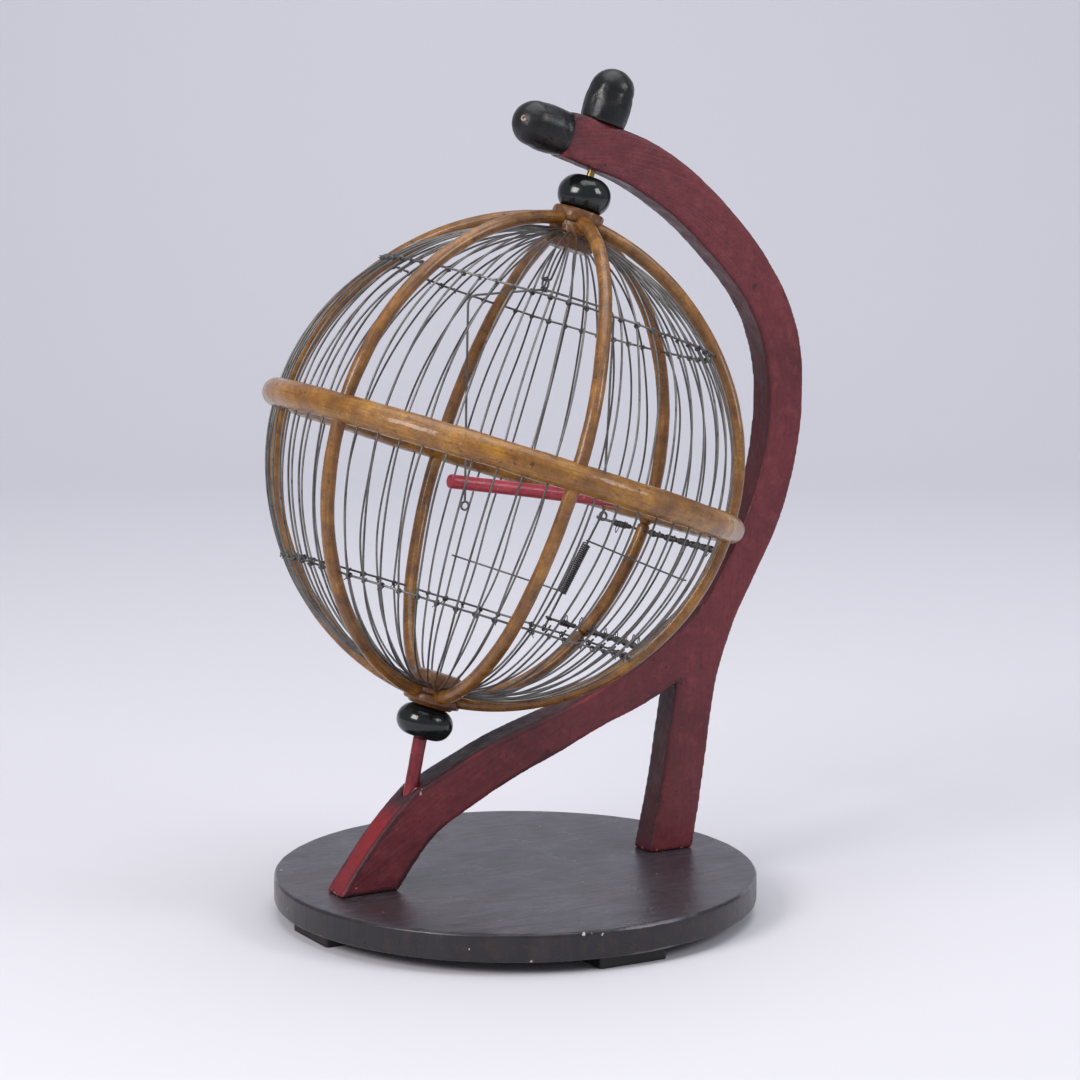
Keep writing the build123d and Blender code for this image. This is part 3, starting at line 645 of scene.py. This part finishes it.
MATERIALS = {slot: maker(slot, *looks) for slot, maker, *looks in (
    ("red_paint", red_paint),
    ("bright_red_paint", dowel_paint, lin(98, 20, 30), lin(132, 32, 44), lin(62, 22, 28)),
    ("faded_red_paint", dowel_paint, lin(150, 40, 54), lin(178, 62, 74), lin(110, 36, 44)),
    ("slate_paint", slate_paint),
    ("black_paint", black_paint),
    ("black_lacquer", lacquer, lin(16, 17, 18), lin(28, 29, 32), lin(56, 46, 42),
     0.20, 0.46, 0.0018, 0.36),
    ("gloss_black", lacquer, lin(10, 16, 16), lin(17, 25, 25), lin(24, 32, 32),
     0.10, 0.22, 0.0004, 0.55),
    ("varnished_cane", cane, lin(98, 60, 12), lin(149, 98, 22), lin(182, 131, 40),
     lin(98, 60, 16), 0.2, 0.42, 0.42, 0.0013),
    ("stained_cane", cane, lin(88, 52, 14), lin(134, 86, 24), lin(170, 118, 42),
     lin(84, 50, 16), 0.2, 0.42, 0.42, 0.0014),
    ("varnished_wood", cane, lin(76, 42, 14), lin(112, 66, 22), lin(142, 90, 34),
     lin(60, 36, 16), 0.24, 0.5, 0.2, 0.0014),
    ("grey_wire", metal, lin(78, 76, 75), lin(132, 130, 127), 0.32, 0.5, 0.85),
    ("dark_wire", metal, lin(70, 70, 72), lin(124, 123, 121), 0.3, 0.5, 0.85),
    ("plain_steel", metal, lin(140, 140, 142), lin(185, 185, 188), 0.28, 0.42, 1.0),
    ("pin_brass", metal, lin(140, 118, 72), lin(190, 165, 105), 0.3, 0.45, 1.0),
)}


def finish(obj, slot):
    obj.data.materials.clear()
    obj.data.materials.append(MATERIALS[slot])


def show(obj, body, slot, node):
    """Puts a piece on its body, in the place of a CAD node, with the finish of its slot."""
    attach(obj, body)
    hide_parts(node)
    finish(obj, slot)


for part in frame["record"]["subparts"]:
    finish(NODES[part["node"]], part["material_slot"])

# ------------------------ stand: boards, dowel and feet
# In x and z: the arm's bend, the way the front leg runs, and where its toe, its shaded upper side
# and the dowel are.
BEND_AT, BEND_R, LEG_DIR = (60, 385), 200, (0.85, 0.53)
TOE_X, SHADED_X, DOWEL_FOOT = -104, -45, (-95, 109)


def paint_marks(obj, is_arm):
    """Where the brush ran, where painted shade and painted light go, and where the paint is
    scuffed.
    """
    x, y, z = (read(obj.data) / MM).T
    nx, ny, nz = read(obj.data, "normal").T
    narrow = 1 - np.clip((np.abs(ny) - 0.45) / 0.4, 0, 1)
    scuff = np.exp(-((z - DISC_TOP) / 6.0) ** 2)
    if is_arm:
        right, rise = x - BEND_AT[0], z - BEND_AT[1]
        upper = z > 300
        across = np.where(upper, np.hypot(right, rise), np.abs(right))
        run = np.where(upper, np.arctan2(rise, right) * BEND_R, rise)
        # The arm gets no painted light at its end and an even weight of painted shade on its
        # narrow faces.
        toe, stain_and_shade = 0 * x, 0.35
    else:
        run = x * LEG_DIR[0] + z * LEG_DIR[1]
        across = z * LEG_DIR[0] - x * LEG_DIR[1]
        # The toe's end, which faces the key light, gets painted light.
        toe = np.clip((TOE_X - x) / 14, 0, 1) * np.clip(-nx * 2 - 0.4, 0, 1) * narrow
        # Painted shade weighs most on the upward-facing stretch about SHADED_X.
        stain_and_shade = 0.3 + 0.7 * np.clip(nz, 0, 1) * np.exp(-((x - SHADED_X) / 60) ** 2)
        from_dowel = np.hypot(x - DOWEL_FOOT[0], z - DOWEL_FOOT[1])
        scuff = np.maximum(scuff, np.exp(-(from_dowel / 13.0) ** 2))
    # Painted shade ("dark") on the narrow faces except at the toe; painted light on the toe; chips
    # where scuffed.
    set_values(obj.data, {
        "across": across + y * 0.7, "run": run, "dark": narrow * (1 - toe) * stain_and_shade * 1.6,
        "toe_light": toe, "scuff": scuff,
    })


def close_seam(one, two):
    """Two glued boards were painted over: their rubbed edges come together along the joint."""
    half = NODES["arm_board"].dimensions.y / 2
    places = [read(obj.data) for obj in (one, two)]
    trees = [tree_of(co) for co in places]
    for obj, co, other in zip((one, two), places, trees[::-1]):
        found = [other.find(c) for c in co]
        gap = np.array([f[2] for f in found]) / MM
        mate = np.array([f[0] for f in found])
        near = np.clip((5.0 - gap) / 2.5, 0, 1)
        moved = co + (mate - co) * (0.46 * near)[:, None] * np.array((1.0, 0.0, 1.0))
        on_face = near * (np.abs(co[:, 1]) > half - 3.2 * MM)
        moved[:, 1] += (np.sign(co[:, 1]) * half - co[:, 1]) * on_face
        obj.data.vertices.foreach_set("co", moved.ravel())
        edge = np.empty(len(co), np.float32)
        obj.data.attributes["edge"].data.foreach_get("value", edge)
        set_values(obj.data, {"edge": edge + 30 * near})
        obj.data.update()


arm = softened("arm_board", 1.5, 4, 0.3, 3)
leg = softened("front_leg", 1.5, 4, 0.3, 4)
close_seam(arm, leg)
paint_marks(arm, True)
show(arm, "stand", "red_paint", "arm_board")
paint_marks(leg, False)
show(leg, "stand", "red_paint", "front_leg")
dowel = softened("spindle_dowel", 0.7, 2, 0.12, 8)
show(dowel, "stand", "bright_red_paint", "spindle_dowel")
for name in ("foot_right", "foot_back", "foot_left", "foot_front"):
    show(softened(name, 1.0, 3, 0.15, 5), "stand", "black_paint", name)

# ------------------------ stand: disc and finials
DISC_EDGE, DISC_SIDES = 2.6, 420
RINGS = [0.01] + [DISC_R - 6.0 - 5.2 * k for k in range(35, -1, -1)]
# Chips at the disc's edges: angle in degrees, height and size in mm.
KNOCKS = (
    (256.3, 31.0, 3.2), (257.6, 31.4, 2.2), (260.8, 29.0, 2.4), (244.2, 12.0, 2.8),
    (222.2, 31.5, 1.8), (62.0, 31.0, 2.8), (151.0, 12.0, 2.4), (331.0, 30.5, 2.2),
)
# Stains on the disc: strength, place and size.
SPILLS = ((1.0, (-118, -62), (42, 34)), (0.7, (-150, 10), (30, 40)))
FINIAL_LENGTH, FINIAL_R, SCAR_AT = 43.5, 17.6, (3.2, -8.6, 622.3)


def quarter_round(middle_h, start):
    """Nine (radius, height) points round one of the disc's edges."""
    turns = [math.radians(start + 90 * k / 8) for k in range(9)]
    middle_r = DISC_R - DISC_EDGE
    return [
        (middle_r + DISC_EDGE * math.cos(a), middle_h + DISC_EDGE * math.sin(a)) for a in turns
    ]


rim_step = (DISC_TOP - DISC_LOW - 2 * DISC_EDGE) / 7
profile = [(r, DISC_LOW) for r in RINGS] + quarter_round(DISC_LOW + DISC_EDGE, -90)
profile += [(DISC_R, DISC_LOW + DISC_EDGE + k * rim_step) for k in range(1, 7)]
profile += quarter_round(DISC_TOP - DISC_EDGE, 0) + [(r, DISC_TOP) for r in RINGS[::-1]]
verts, faces = lathe(profile, (0, 0, 0), UP, DISC_SIDES)
beyond = np.hypot(verts[:, 0], verts[:, 1]) - DISC_R
edge = np.minimum(
    np.hypot(beyond, verts[:, 2] - DISC_TOP), np.hypot(beyond, verts[:, 2] - DISC_LOW),
)
outward = verts * (1, 1, 0)
outward /= np.maximum(np.linalg.norm(outward, axis=1), 1)[:, None]
close = np.exp(-edge / 5.0)
verts += outward * ((smooth_noise(verts, 30.0, 21) * 0.35 - 0.3) * close)[:, None]
# The disc's side, where its paint gets painted shade and rust.
rim = np.clip((np.hypot(verts[:, 0], verts[:, 1]) - DISC_R + 2.0) / 1.4, 0, 1)
spill = np.zeros(len(verts))
for strength, place, size in SPILLS:
    spill += strength * np.exp(-(((verts[:, :2] - place) / size) ** 2).sum(1))
knock = np.zeros(len(verts))
for turn, z, size in KNOCKS:
    away = np.linalg.norm(verts - cage(turn, DISC_R, z), axis=1)
    knock = np.maximum(knock, np.exp(-(away / size) ** 4))
disc = mesh_object("base_disc_worn", verts, faces, {
    "edge": edge, "rim": rim, "stain_and_shade": np.clip(spill, 0, 1), "knock": knock,
})
show(disc, "stand", "slate_paint", "base_disc")


def bullet(place, axis, seed):
    """Shell of one finial: slightly bulging sides and a round end."""
    r, dome = FINIAL_R, FINIAL_LENGTH - FINIAL_R
    prof = [(0.01, 0.0), (r * 0.5, 0.0), (r - 0.5, 0.0), (r - 0.1, 0.35)]
    for f in np.arange(1, 12) / 12:
        prof.append((r + 1.0 * math.sin(math.pi * f), max(dome * f, 0.8)))
    for a in np.radians(90 * np.arange(17) / 16):
        prof.append((max(r * math.cos(a), 0.01), dome + r * math.sin(a)))
    return lathe(prof, place, axis, 120, 0.32, seed)


verts, faces = bullet(world((-3.5, 0, ARM_OVER))[0], AXIS, 31)
show(mesh_object("finial_top_turned", verts, faces), "stand", "black_lacquer", "finial_top")
end_at = world((ARM_END, 0, (ARM_UNDER + ARM_OVER) / 2))[0]
verts, faces = bullet(end_at, (-math.cos(LEAN), 0, math.sin(LEAN)), 33)
from_scar = np.linalg.norm(verts - SCAR_AT, axis=1)
scar = np.exp(-((from_scar - 1.8) / 1.1) ** 2) * (verts[:, 0] < 3.9)
finial = mesh_object("finial_end_turned", verts, faces, {"scar": scar})
show(finial, "stand", "black_lacquer", "finial_end")

# ------------------------ globe: beads and hubs
BEAD_FLAT, BORE_R, BORE_LIP = 10.2, PIN_R + 0.1, 6.0


def bead(name, r, height, middle, seed):
    """Barrel bead whose round side runs between flat ends."""
    half = height / 2
    c_r = (r ** 2 - BEAD_FLAT ** 2 - half ** 2) / (2 * (r - BEAD_FLAT))
    turn = math.atan2(half, BEAD_FLAT - c_r)
    profile = [(BORE_R, -half), (BORE_LIP, -half)]
    for a in -turn + 2 * turn * np.arange(41) / 40:
        profile.append((c_r + (r - c_r) * math.cos(a), (r - c_r) * math.sin(a)))
    profile += [(BORE_LIP, half), (BORE_R, half)]
    verts, faces = lathe(profile, world((0, 0, middle))[0], AXIS, 128, 0.12, seed)
    show(mesh_object(name + "_turned", verts, faces), "globe", "gloss_black", name)


bead("bead_top", 21.0, 29.0, 215.0, 42)
bead("bead_bottom", 22.3, 25.0, -210.5, 40)


def hub_piece(name, outline, sign, wobble, seed):
    """Roughly turned hub piece from its outline; sign is 1 at the top hub and -1 at the bottom."""
    profile = eased([(BORE_R, outline[0][1])] + outline + [(BORE_R, outline[-1][1])])
    profile[:, 1] *= sign
    verts, faces = lathe(profile[::sign], GLOBE, AXIS, 144, wobble, seed, 9.0)
    show(mesh_object(name + "_turned", verts, faces), "globe", "varnished_wood", name)


PLUG = [(16.8, PLUG_END), (18.6, 173.0), (PLUG_R, 176.0)]
hub_piece("hub_cap_top", [
    (19.2, CAP_TOP_H), (20.2, 195.5), (19.8, 202.0), (19.0, 202.8), (16.8, 202.8), (15.8, 200.5),
], 1, 0.55, 43)
hub_piece("hub_plug_top", PLUG + [(PLUG_R, CAP_TOP_H)], 1, 0.45, 44)
hub_piece("hub_cap_bottom", [
    (21.5, CAP_LOW_H), (22.3, 189.4), (22.3, 194.6), (21.2, 195.8), (17.5, 195.8), (17.0, 198.0),
], -1, 0.4, 45)
hub_piece("hub_plug_bottom", PLUG + [(PLUG_R, CAP_LOW_H)], -1, 0.45, 46)

# ------------------------ globe: ring and ribs
RING_STEPS, RING_SIDES = 1100, 56
uu, vv = (g.ravel() for g in np.meshgrid(circle(RING_STEPS), circle(RING_SIDES), indexing="ij"))
outward = np.stack((np.cos(vv) * np.cos(uu), np.cos(vv) * np.sin(uu), np.sin(vv)), -1)
surface = cage(np.degrees(uu), CAGE_R, 0.0) + outward * RING_R
bulge = 0.35 * smooth_noise(surface, 60.0, 51) + 0.14 * smooth_noise(surface, 13.0, 52) - 0.15
# Each wire and rib goes through a hole, dimpled at the ring's top and bottom.
beside = np.abs((np.degrees(uu) - RIBS_AT[0] + WIRE_STEP / 2) % WIRE_STEP - WIRE_STEP / 2)
hole_d = np.hypot(np.radians(beside) * CAGE_R, np.cos(vv) * RING_R + 0.2)
hole = np.exp(-(hole_d / 1.7) ** 4) * (np.abs(np.sin(vv)) > 0.5)
surface += outward * (bulge - 0.6 * hole)[:, None]
# Its rows run the other way round from a tube's, so each face is turned over.
faces = [face[:1] + face[:0:-1] for face in tube_faces(RING_STEPS, RING_SIDES, closed=True)]
ring = mesh_object("equator_ring_turned", world(surface), faces, {
    "along": uu * CAGE_R, "seed": 0.4, "edge": hole_d,
    "gx": np.cos(vv) * RING_R, "gy": np.sin(vv) * RING_R,
})
show(ring, "globe", "varnished_cane", "equator_ring")


def rib(name, theta, line, seed, body="globe"):
    """Cane rib, swaying and swelling slightly along its length."""
    rho, h = line
    at_height = np.outer(h, (1, 0, 0))
    sway = smooth_noise(at_height, 130.0, seed + 40) * np.clip((190 - np.abs(h)) / 40, 0, 1)
    sideways = cage(theta + 90, 1.0, 0.0) * (0.5 * sway * (np.abs(h) > 14))[:, None]
    parts = Parts()
    swell = RIB_R + 0.2 * smooth_noise(at_height, 45.0, seed)
    parts.tube(world(cage(theta, rho, h) + sideways), swell, 32)
    show(parts.make(name + "_cane"), body, "stained_cane", name)


full = whole_line(RIB_TOP, RIB_LOW, RIB_END)
WHOLE_RIBS = ("rib_back_right", "rib_back_left", "rib_left", "rib_front", "rib_front_right")
for k, name in enumerate(WHOLE_RIBS):
    rib(name, RIBS_AT[k + 1], full, 60 + k)
rib("rib_door_upper", RIBS_AT[0], half_line(RIB_TOP, RIB_END, RIB_CUTS[0]), 70)
low_rho, low_h = half_line(RIB_LOW, RIB_END, -RIB_CUTS[1])
rib("rib_door_lower", RIBS_AT[0], (low_rho, -low_h), 71)
door_h = np.linspace(*DOOR_RIB_H, 50)
rib("door_rib", RIBS_AT[0], (side_rho(RIB_LOW[0], door_h), door_h), 72, "door")

# ------------------------ globe: wires, hoops and ties
HELD_AT = (-178.0, LOWER_H, 0.0, UPPER_H, 178.0)


def bent(theta, line, rng):
    """Globe-frame points of one wire, slightly uneven between the places that hold it."""
    rho, h = line
    run = np.concatenate(([0], np.cumsum(np.hypot(np.diff(rho), np.diff(h)))))
    side, lift = np.zeros(len(h)), np.zeros(len(h))
    for low, high in zip(HELD_AT[:-1], HELD_AT[1:]):
        inside = (h >= low) & (h < high)
        if inside.sum() < 5:
            continue
        s = run[inside]
        f = (s - s[0]) / (s[-1] - s[0])
        bow, second = np.sin(math.pi * f), np.sin(2 * math.pi * f)
        amp = 0.7 if max(abs(low), abs(high)) > 150 else 1.25
        side[inside] = amp * (rng.normal() * 0.7 * bow + rng.normal() * 0.4 * second)
        lift[inside] = 0.5 * (rng.normal() * 0.6 * bow + rng.normal() * 0.3 * second)
    p = cage(theta + np.degrees(side / np.maximum(rho, 10.0)), rho, h)
    return p + unit(p) * lift[:, None]


SECTORS = ("wires_back_right", "wires_back", "wires_back_left",
           "wires_front_left", "wires_front_right", "wires_door_side")
wire_rng = np.random.default_rng(101)
for name, angle in zip(SECTORS, RIBS_AT):
    parts = Parts()
    for j in range(1, 10):
        theta = angle + WIRE_STEP * j
        top, low = TOP_BENDS[j % 2], LOW_BENDS[j % 2]
        lines = [whole_line(top, low, WIRE_END)]
        if DOOR_SPAN[0] < (theta + 180) % 360 - 180 < DOOR_SPAN[1]:
            rho, h = half_line(low, WIRE_END, -WIRE_CUTS[1])
            lines = [half_line(top, WIRE_END, WIRE_CUTS[0]), (rho, -h)]
        for line in lines:
            parts.tube(world(bent(theta, line, wire_rng)), WIRE_R, 10)
    show(parts.make(name + "_bent"), "globe", "grey_wire", name)

for name, rho, h, seed in (("upper_hoop", UPPER_RHO, UPPER_H, 81),
                           ("lower_hoop", LOWER_RHO, LOWER_H, 83)):
    around = np.arange(360.0)
    even = cage(around, rho, h)
    out = smooth_noise(even, 55.0, seed) * 0.3
    rise = smooth_noise(even, 40.0, seed + 1) * 0.3
    parts = Parts()
    parts.tube(world(cage(around, rho + out, h + rise)), HOOP_R, 10, closed=True)
    show(parts.make(name + "_wire"), "globe", "grey_wire", name)

TIE_R, TIE_SPACING = 0.36, 2.15


def tie(parts, theta, c, rho, h, turns, rng):
    """Binding wire wound on the diagonal round one crossing, with a short twisted tail."""
    reach = math.hypot(rho - c, h)
    t = math.radians(theta)
    n = np.array(((rho - c) / reach * math.cos(t), (rho - c) / reach * math.sin(t), h / reach))
    side = np.array((-math.sin(t), math.cos(t), 0.0))
    apart = reach - (CAGE_R - c)
    middle = cage(theta, rho, h) - n * (apart / 2)
    sign = 1 if rng.random() > 0.5 else -1
    axis = unit(side * sign + np.cross(side, n))
    across = np.cross(axis, n)
    count = int(22 * turns)
    ph = np.linspace(0, turns * 2 * math.pi, count)[:, None]
    drift = np.linspace(-0.5, 0.5, count)[:, None] * TIE_R * TIE_SPACING * turns
    deep, wide = abs(apart) / 2 + HOOP_R + TIE_R + 0.1, HOOP_R + TIE_R + 0.55
    p = middle + n * np.cos(ph) * deep + across * np.sin(ph) * wide + axis * drift
    tail = n * rng.uniform(0.2, 0.9) + axis * rng.uniform(0.5, 1.4)
    tail = p[-1] + tail * np.linspace(0.3, 1.6, 5)[:, None]
    parts.tube(world(np.concatenate((p, tail))), TIE_R, 6)


tie_rng = np.random.default_rng(103)
for name, c, rho, h in (("upper_ties", WIRE_TOP_C, UPPER_RHO, UPPER_H),
                        ("lower_ties", WIRE_LOW_C, LOWER_RHO, LOWER_H)):
    parts = Parts()
    for angle in RIBS_AT:
        for j in range(1, 10):
            if h < 0 and angle == RIBS_AT[0] and j == 2:
                continue  # the hinge post's eye is here
            turns = 2.0 + tie_rng.integers(0, 3)
            tie(parts, angle + WIRE_STEP * j, c, rho, h, turns, tie_rng)
    show(parts.make(name + "_wound"), "globe", "dark_wire", name)

# ------------------------ door: hinge post and spring
OPEN_TURNS, SPRING_FOOT, CATCH_H, HOOK_AT, HOOK_H = 25, 65.0, -82.0, -7.0, -47.0


def post_at(h):
    f = (h - POST_TOP[1]) / (POST_LOW[1] - POST_TOP[1])
    return cage(POST_ANGLE, POST_TOP[0] + f * (POST_LOW[0] - POST_TOP[0]), h)


up = unit(post_at(-10.0) - post_at(-100.0))
out_dir = cage(POST_ANGLE, 1.0, 0.0)
inward = unit(up * (out_dir @ up) - out_dir)
across = np.cross(up, inward)
coil_top = post_at(COIL_TOP_H)
coil_low = coil_top - up * (COIL_TURNS * 2 * COIL_WIRE)


def spring_arm(start, theta, hook, h):
    """Spring arm from the coil to a wire, which it hooks round; hook holds three angles."""
    rho = side_rho(WIRE_LOW_C, h)
    ends = [cage(theta + a, rho + r, h) for a, r in zip(hook, (-2.3, -1.6, 1.9))]
    return world(dense(rounded([start] + ends, 1.0)))


ph = np.linspace(0, OPEN_TURNS * 2 * math.pi, OPEN_TURNS * 24)[:, None]
rise = np.linspace(COIL_WIRE, (COIL_TURNS * 2 - 1) * COIL_WIRE, len(ph))[:, None]
coil = coil_low + up * rise + (inward * np.cos(ph) + across * np.sin(ph)) * (COIL_R + 0.12)
start = coil_low + inward * COIL_R + up * COIL_WIRE
parts = Parts()
parts.tube(world(coil), COIL_WIRE * 0.9, 8)
parts.tube(spring_arm(start, SPRING_FOOT, (-0.5, 1.1, 1.0), CATCH_H), COIL_WIRE, 8)
show(parts.make("door_spring_coiled"), "globe", "dark_wire", "door_spring")

parts = Parts()
parts.tube(world(dense([post_at(POST_TOP[1]), post_at(POST_LOW[1])], 4.0)), POST_R, 10)
eye = hoop(cage(POST_ANGLE, LOWER_RHO, LOWER_H), out_dir, UP, 2.3, 24)
parts.tube(world(eye), 0.8, 8, closed=True)
show(parts.make("door_hinge_post_wire"), "globe", "grey_wire", "door_hinge_post")

# ------------------------ door: wires, bars and windings
BAR_EYE, EYE_WIRE, WOUND_R, TWIST_R, TURN_EVERY = 2.5, 0.9, 0.42, 0.4, 1.05
SPANS = (
    (26.4, 20.0), (14.0, 8.0), (8.0, 2.0), (2.0, -4.0), (-4.0, -10.0), (-10.0, -16.0),
    (-16.0, -23.5),
)
door_rng = np.random.default_rng(107)
parts = Parts()
for theta in DOOR_WIRES:
    h = np.linspace(*DOOR_WIRE_H, 36)
    bow = np.sin(np.linspace(0, math.pi, 36)) * door_rng.normal() * 0.5
    line = cage(theta + np.degrees(bow / CAGE_R), side_rho(WIRE_LOW_C, h), h)
    parts.tube(world(line), WIRE_R, 10)
show(parts.make("door_wires_bent"), "door", "grey_wire", "door_wires")

def door_bar(h, bar, winding, upward):
    """One bar of the door with its eye on the hinge post, and the wire wound and tied on it."""
    rho = side_rho(WIRE_LOW_C, h, BAR_IN)

    def bar_line(a0, a1, n):
        return cage(np.linspace(a0, a1, n), rho, h)

    parts = Parts()
    start = POST_ANGLE - math.degrees(2.6 / rho)
    parts.tube(world(bar_line(start, DOOR_END, 60)), BAR_R, 10)
    eye = hoop(post_at(h), inward, across, BAR_EYE, 24)
    parts.tube(world(eye), EYE_WIRE, 8, closed=True)
    show(parts.make(bar + "_wire"), "door", "dark_wire", bar)

    parts = Parts()

    def wound(a0, a1, n, off, turns, unevenness):
        start, seed = door_rng.random() * 6, int(door_rng.integers(1e6))
        line = bar_line(a0, a1, n)
        parts.tube(world(helix(line, BAR_R + off, turns, start, unevenness, seed)), WOUND_R, 6)

    for a0, a1 in SPANS:
        n_turn = abs(a1 - a0) / 57.3 * rho / TURN_EVERY
        wound(a0 - 0.4, a1 + 0.4, int(n_turn * 14), WOUND_R, n_turn, 0.25)
        share = door_rng.uniform(0.35, 0.85)
        end = a0 + (a1 - a0) * share
        wound(a0 - 0.6, end, int(n_turn * 9), 1.15, n_turn * 0.42 * share + 1, 0.5)
    rise = UP * upward
    for theta in DOOR_WIRES + (RIBS_AT[0],):
        here = cage(theta + 0.9, rho, h)
        tip = 6.0 + 3.0 * door_rng.random()
        radial, tangent = cage(theta, 1.0, 0.0), cage(theta + 90, 1.0, 0.0)
        twist = smooth_line([
            here - rise * 1.2 + radial * 1.3,
            here + rise * tip * 0.5 - tangent * 0.5 - radial * 1.0,
            here + rise * tip - radial * 2.2,
            here + rise * tip * 0.5 + tangent * 1.4 - radial * 2.0,
            here - rise * 1.2 + tangent * 1.2 + radial * 1.3,
        ], 22)
        if upward > 0 or theta in (DOOR_WIRES[0], DOOR_WIRES[-1]):
            parts.tube(world(twist), TWIST_R, 6)
    show(parts.make(winding + "_wound"), "door", "dark_wire", winding)


door_bar(TOP_BAR_H, "door_top_bar", "door_top_wraps", -1)
door_bar(LOW_BAR_H, "door_bottom_bar", "door_bottom_wraps", 1)

start = coil_top + inward * COIL_R + up * (COIL_WIRE + 0.6)
parts = Parts()
parts.tube(spring_arm(start, HOOK_AT, (0.5, -1.0, -0.9), HOOK_H), COIL_WIRE, 8)
show(parts.make("door_spring_arm_wire"), "door", "dark_wire", "door_spring_arm")

# ------------------------ swing, in mm of the part's frame
PIVOT, HANGER_TOP, LINK_SIDE = np.array((27.7, 0, 496.5)), (-6.0, 0, 176.0), (0, 1.0, 0)
EYES, SHOULDERS = ((-44.2, 0, 329.0), (79.6, 0, 311.0)), ((-41.0, 0, 488.0), (89.0, 0, 469.5))
perch_dir = np.array((math.cos(SWING_TILT), 0, -math.sin(SWING_TILT)))
swing_up = np.array((math.sin(SWING_TILT), 0, math.cos(SWING_TILT)))


def uneven(points, amount, seed):
    p = dense(points)
    drift = smooth_noise(p, 70.0, seed) * np.sin(np.linspace(0, math.pi, len(p)))
    return p + np.outer(drift, (0.25, 1.0, 0.1)) * amount


drop = LINK_R - 2 * BAIL_R - 0.3
peak = PIVOT - swing_up * (drop + LINK_R)
bail = rounded([EYES[0], SHOULDERS[0], peak, SHOULDERS[1], EYES[1]], 8.0)
parts = Parts()
parts.tube(uneven(bail, 0.8, 91), BAIL_R, 10)
for eye in EYES:
    parts.tube(hoop(eye - UP * EYE_R, (1.0, 0, 0), UP, EYE_R, 28), BAIL_R, 8, closed=True)
link = hoop(PIVOT - swing_up * drop, LINK_SIDE, swing_up, LINK_R, 28)
parts.tube(link, BAIL_R, 8, closed=True)
ph = np.linspace(0, 5 * math.pi, 60)
twist = peak + (np.outer(np.cos(ph), swing_up) + np.outer(np.sin(ph), LINK_SIDE)) * 1.9
parts.tube(twist + np.outer(np.linspace(-2.6, 2.6, 60), perch_dir), 0.5, 6)
show(parts.make("swing_bail_bent"), "swing", "grey_wire", "swing_bail")

strand = world(HANGER_TOP)[0] - PIVOT
low_left, low_right = PIVOT - perch_dir * HANG_W, PIVOT + perch_dir * HANG_W
hanger = rounded([low_left + strand, low_left, low_right, low_right + strand], 2.6)
parts = Parts()
parts.tube(uneven(hanger, 0.3, 93), BAIL_R, 10)
show(parts.make("swing_hanger_bent"), "globe", "grey_wire", "swing_hanger")

perch = softened("swing_perch", 0.8, 2, 0.16, 9)
show(perch, "swing", "faded_red_paint", "swing_perch")

# ------------------------ room, lights and camera, in m
CAMERA_AT, LOOK_AT = Vector((-1.3398, -2.3875, 0.7606)), Vector((0.02238, 0.0, 0.29347))
LENS, SENSOR, FAR = 118.98, 36.0, 100.0
FLOOR_HALF, FLOOR_NEAR, SWEEP_FROM, SWEEP_R, WALL_TOP = 9.0, -6.0, 2.2, 1.6, 7.0

ahead = Vector((LOOK_AT.x - CAMERA_AT.x, LOOK_AT.y - CAMERA_AT.y, 0)).normalized()
aside = Vector((ahead.y, -ahead.x, 0))
profile = [(FLOOR_NEAR, 0.0), (SWEEP_FROM, 0.0)]
for a in np.radians(90 * np.arange(1, 25) / 24):
    profile.append((SWEEP_FROM + SWEEP_R * math.sin(a), SWEEP_R - SWEEP_R * math.cos(a)))
profile.append((SWEEP_FROM + SWEEP_R, WALL_TOP))
verts = []
for d, z in profile:
    verts += [ahead * d + aside * s + Vector((0, 0, z)) for s in (-FLOOR_HALF, FLOOR_HALF)]
faces = [(2 * i, 2 * i + 1, 2 * i + 3, 2 * i + 2) for i in range(len(profile) - 1)]
floor = mesh_object("floor", np.array(verts) / MM, faces)
m = Nodes("floor_paper")
tone = m.ramp(m.noise(0.35, 1), (0.3, lin(214, 213, 219)), (0.7, lin(218, 217, 222)))
floor.data.materials.append(m.done(tone, 0.9, specular_ior_level=0.1))
floor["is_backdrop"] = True

studio = bpy.data.worlds.new("studio")
bpy.context.scene.world = studio
studio.use_nodes = True
background = studio.node_tree.nodes["Background"]
background.inputs["Color"].default_value = (0.89, 0.90, 1.0, 1)
background.inputs["Strength"].default_value = 0.42


def aim(obj, at, target):
    obj.location = at
    obj.rotation_euler = (Vector(target) - Vector(at)).to_track_quat("-Z", "Y").to_euler()
    bpy.context.scene.collection.objects.link(obj)


# Softboxes: name, place, target, width, height, power in W and colour.
for name, at, target, width, height, power, color in (
    ("key", (-2.75, -0.75, 2.0), (0, 0, 0.3), 1.3, 1.4, 70, (1.0, 0.98, 0.96)),
    ("fill", (2.0, -2.3, 1.9), (0, 0, 0.3), 1.2, 1.2, 36, (0.97, 0.98, 1.0)),
    ("overhead", (0.35, 0.05, 3.0), (0, 0, 0), 2.6, 2.6, 50, (0.97, 0.98, 1.0)),
    ("backdrop", (1.15, 2.1, 2.5), (1.9, 3.4, 0.5), 1.8, 0.8, 5.5, (0.76, 0.82, 1.0)),
):
    light = bpy.data.lights.new(name, "AREA")
    light.shape = "RECTANGLE"
    light.size, light.size_y = width, height
    light.energy, light.color = power, color
    aim(bpy.data.objects.new(name, light), at, target)

cam_data = bpy.data.cameras.new("camera")
cam_data.lens, cam_data.sensor_width, cam_data.clip_end = LENS, SENSOR, FAR
cam = bpy.data.objects.new("camera", cam_data)
aim(cam, CAMERA_AT, LOOK_AT)
bpy.context.scene.camera = cam
bpy.context.scene.view_settings.view_transform = "Standard"

low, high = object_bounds()
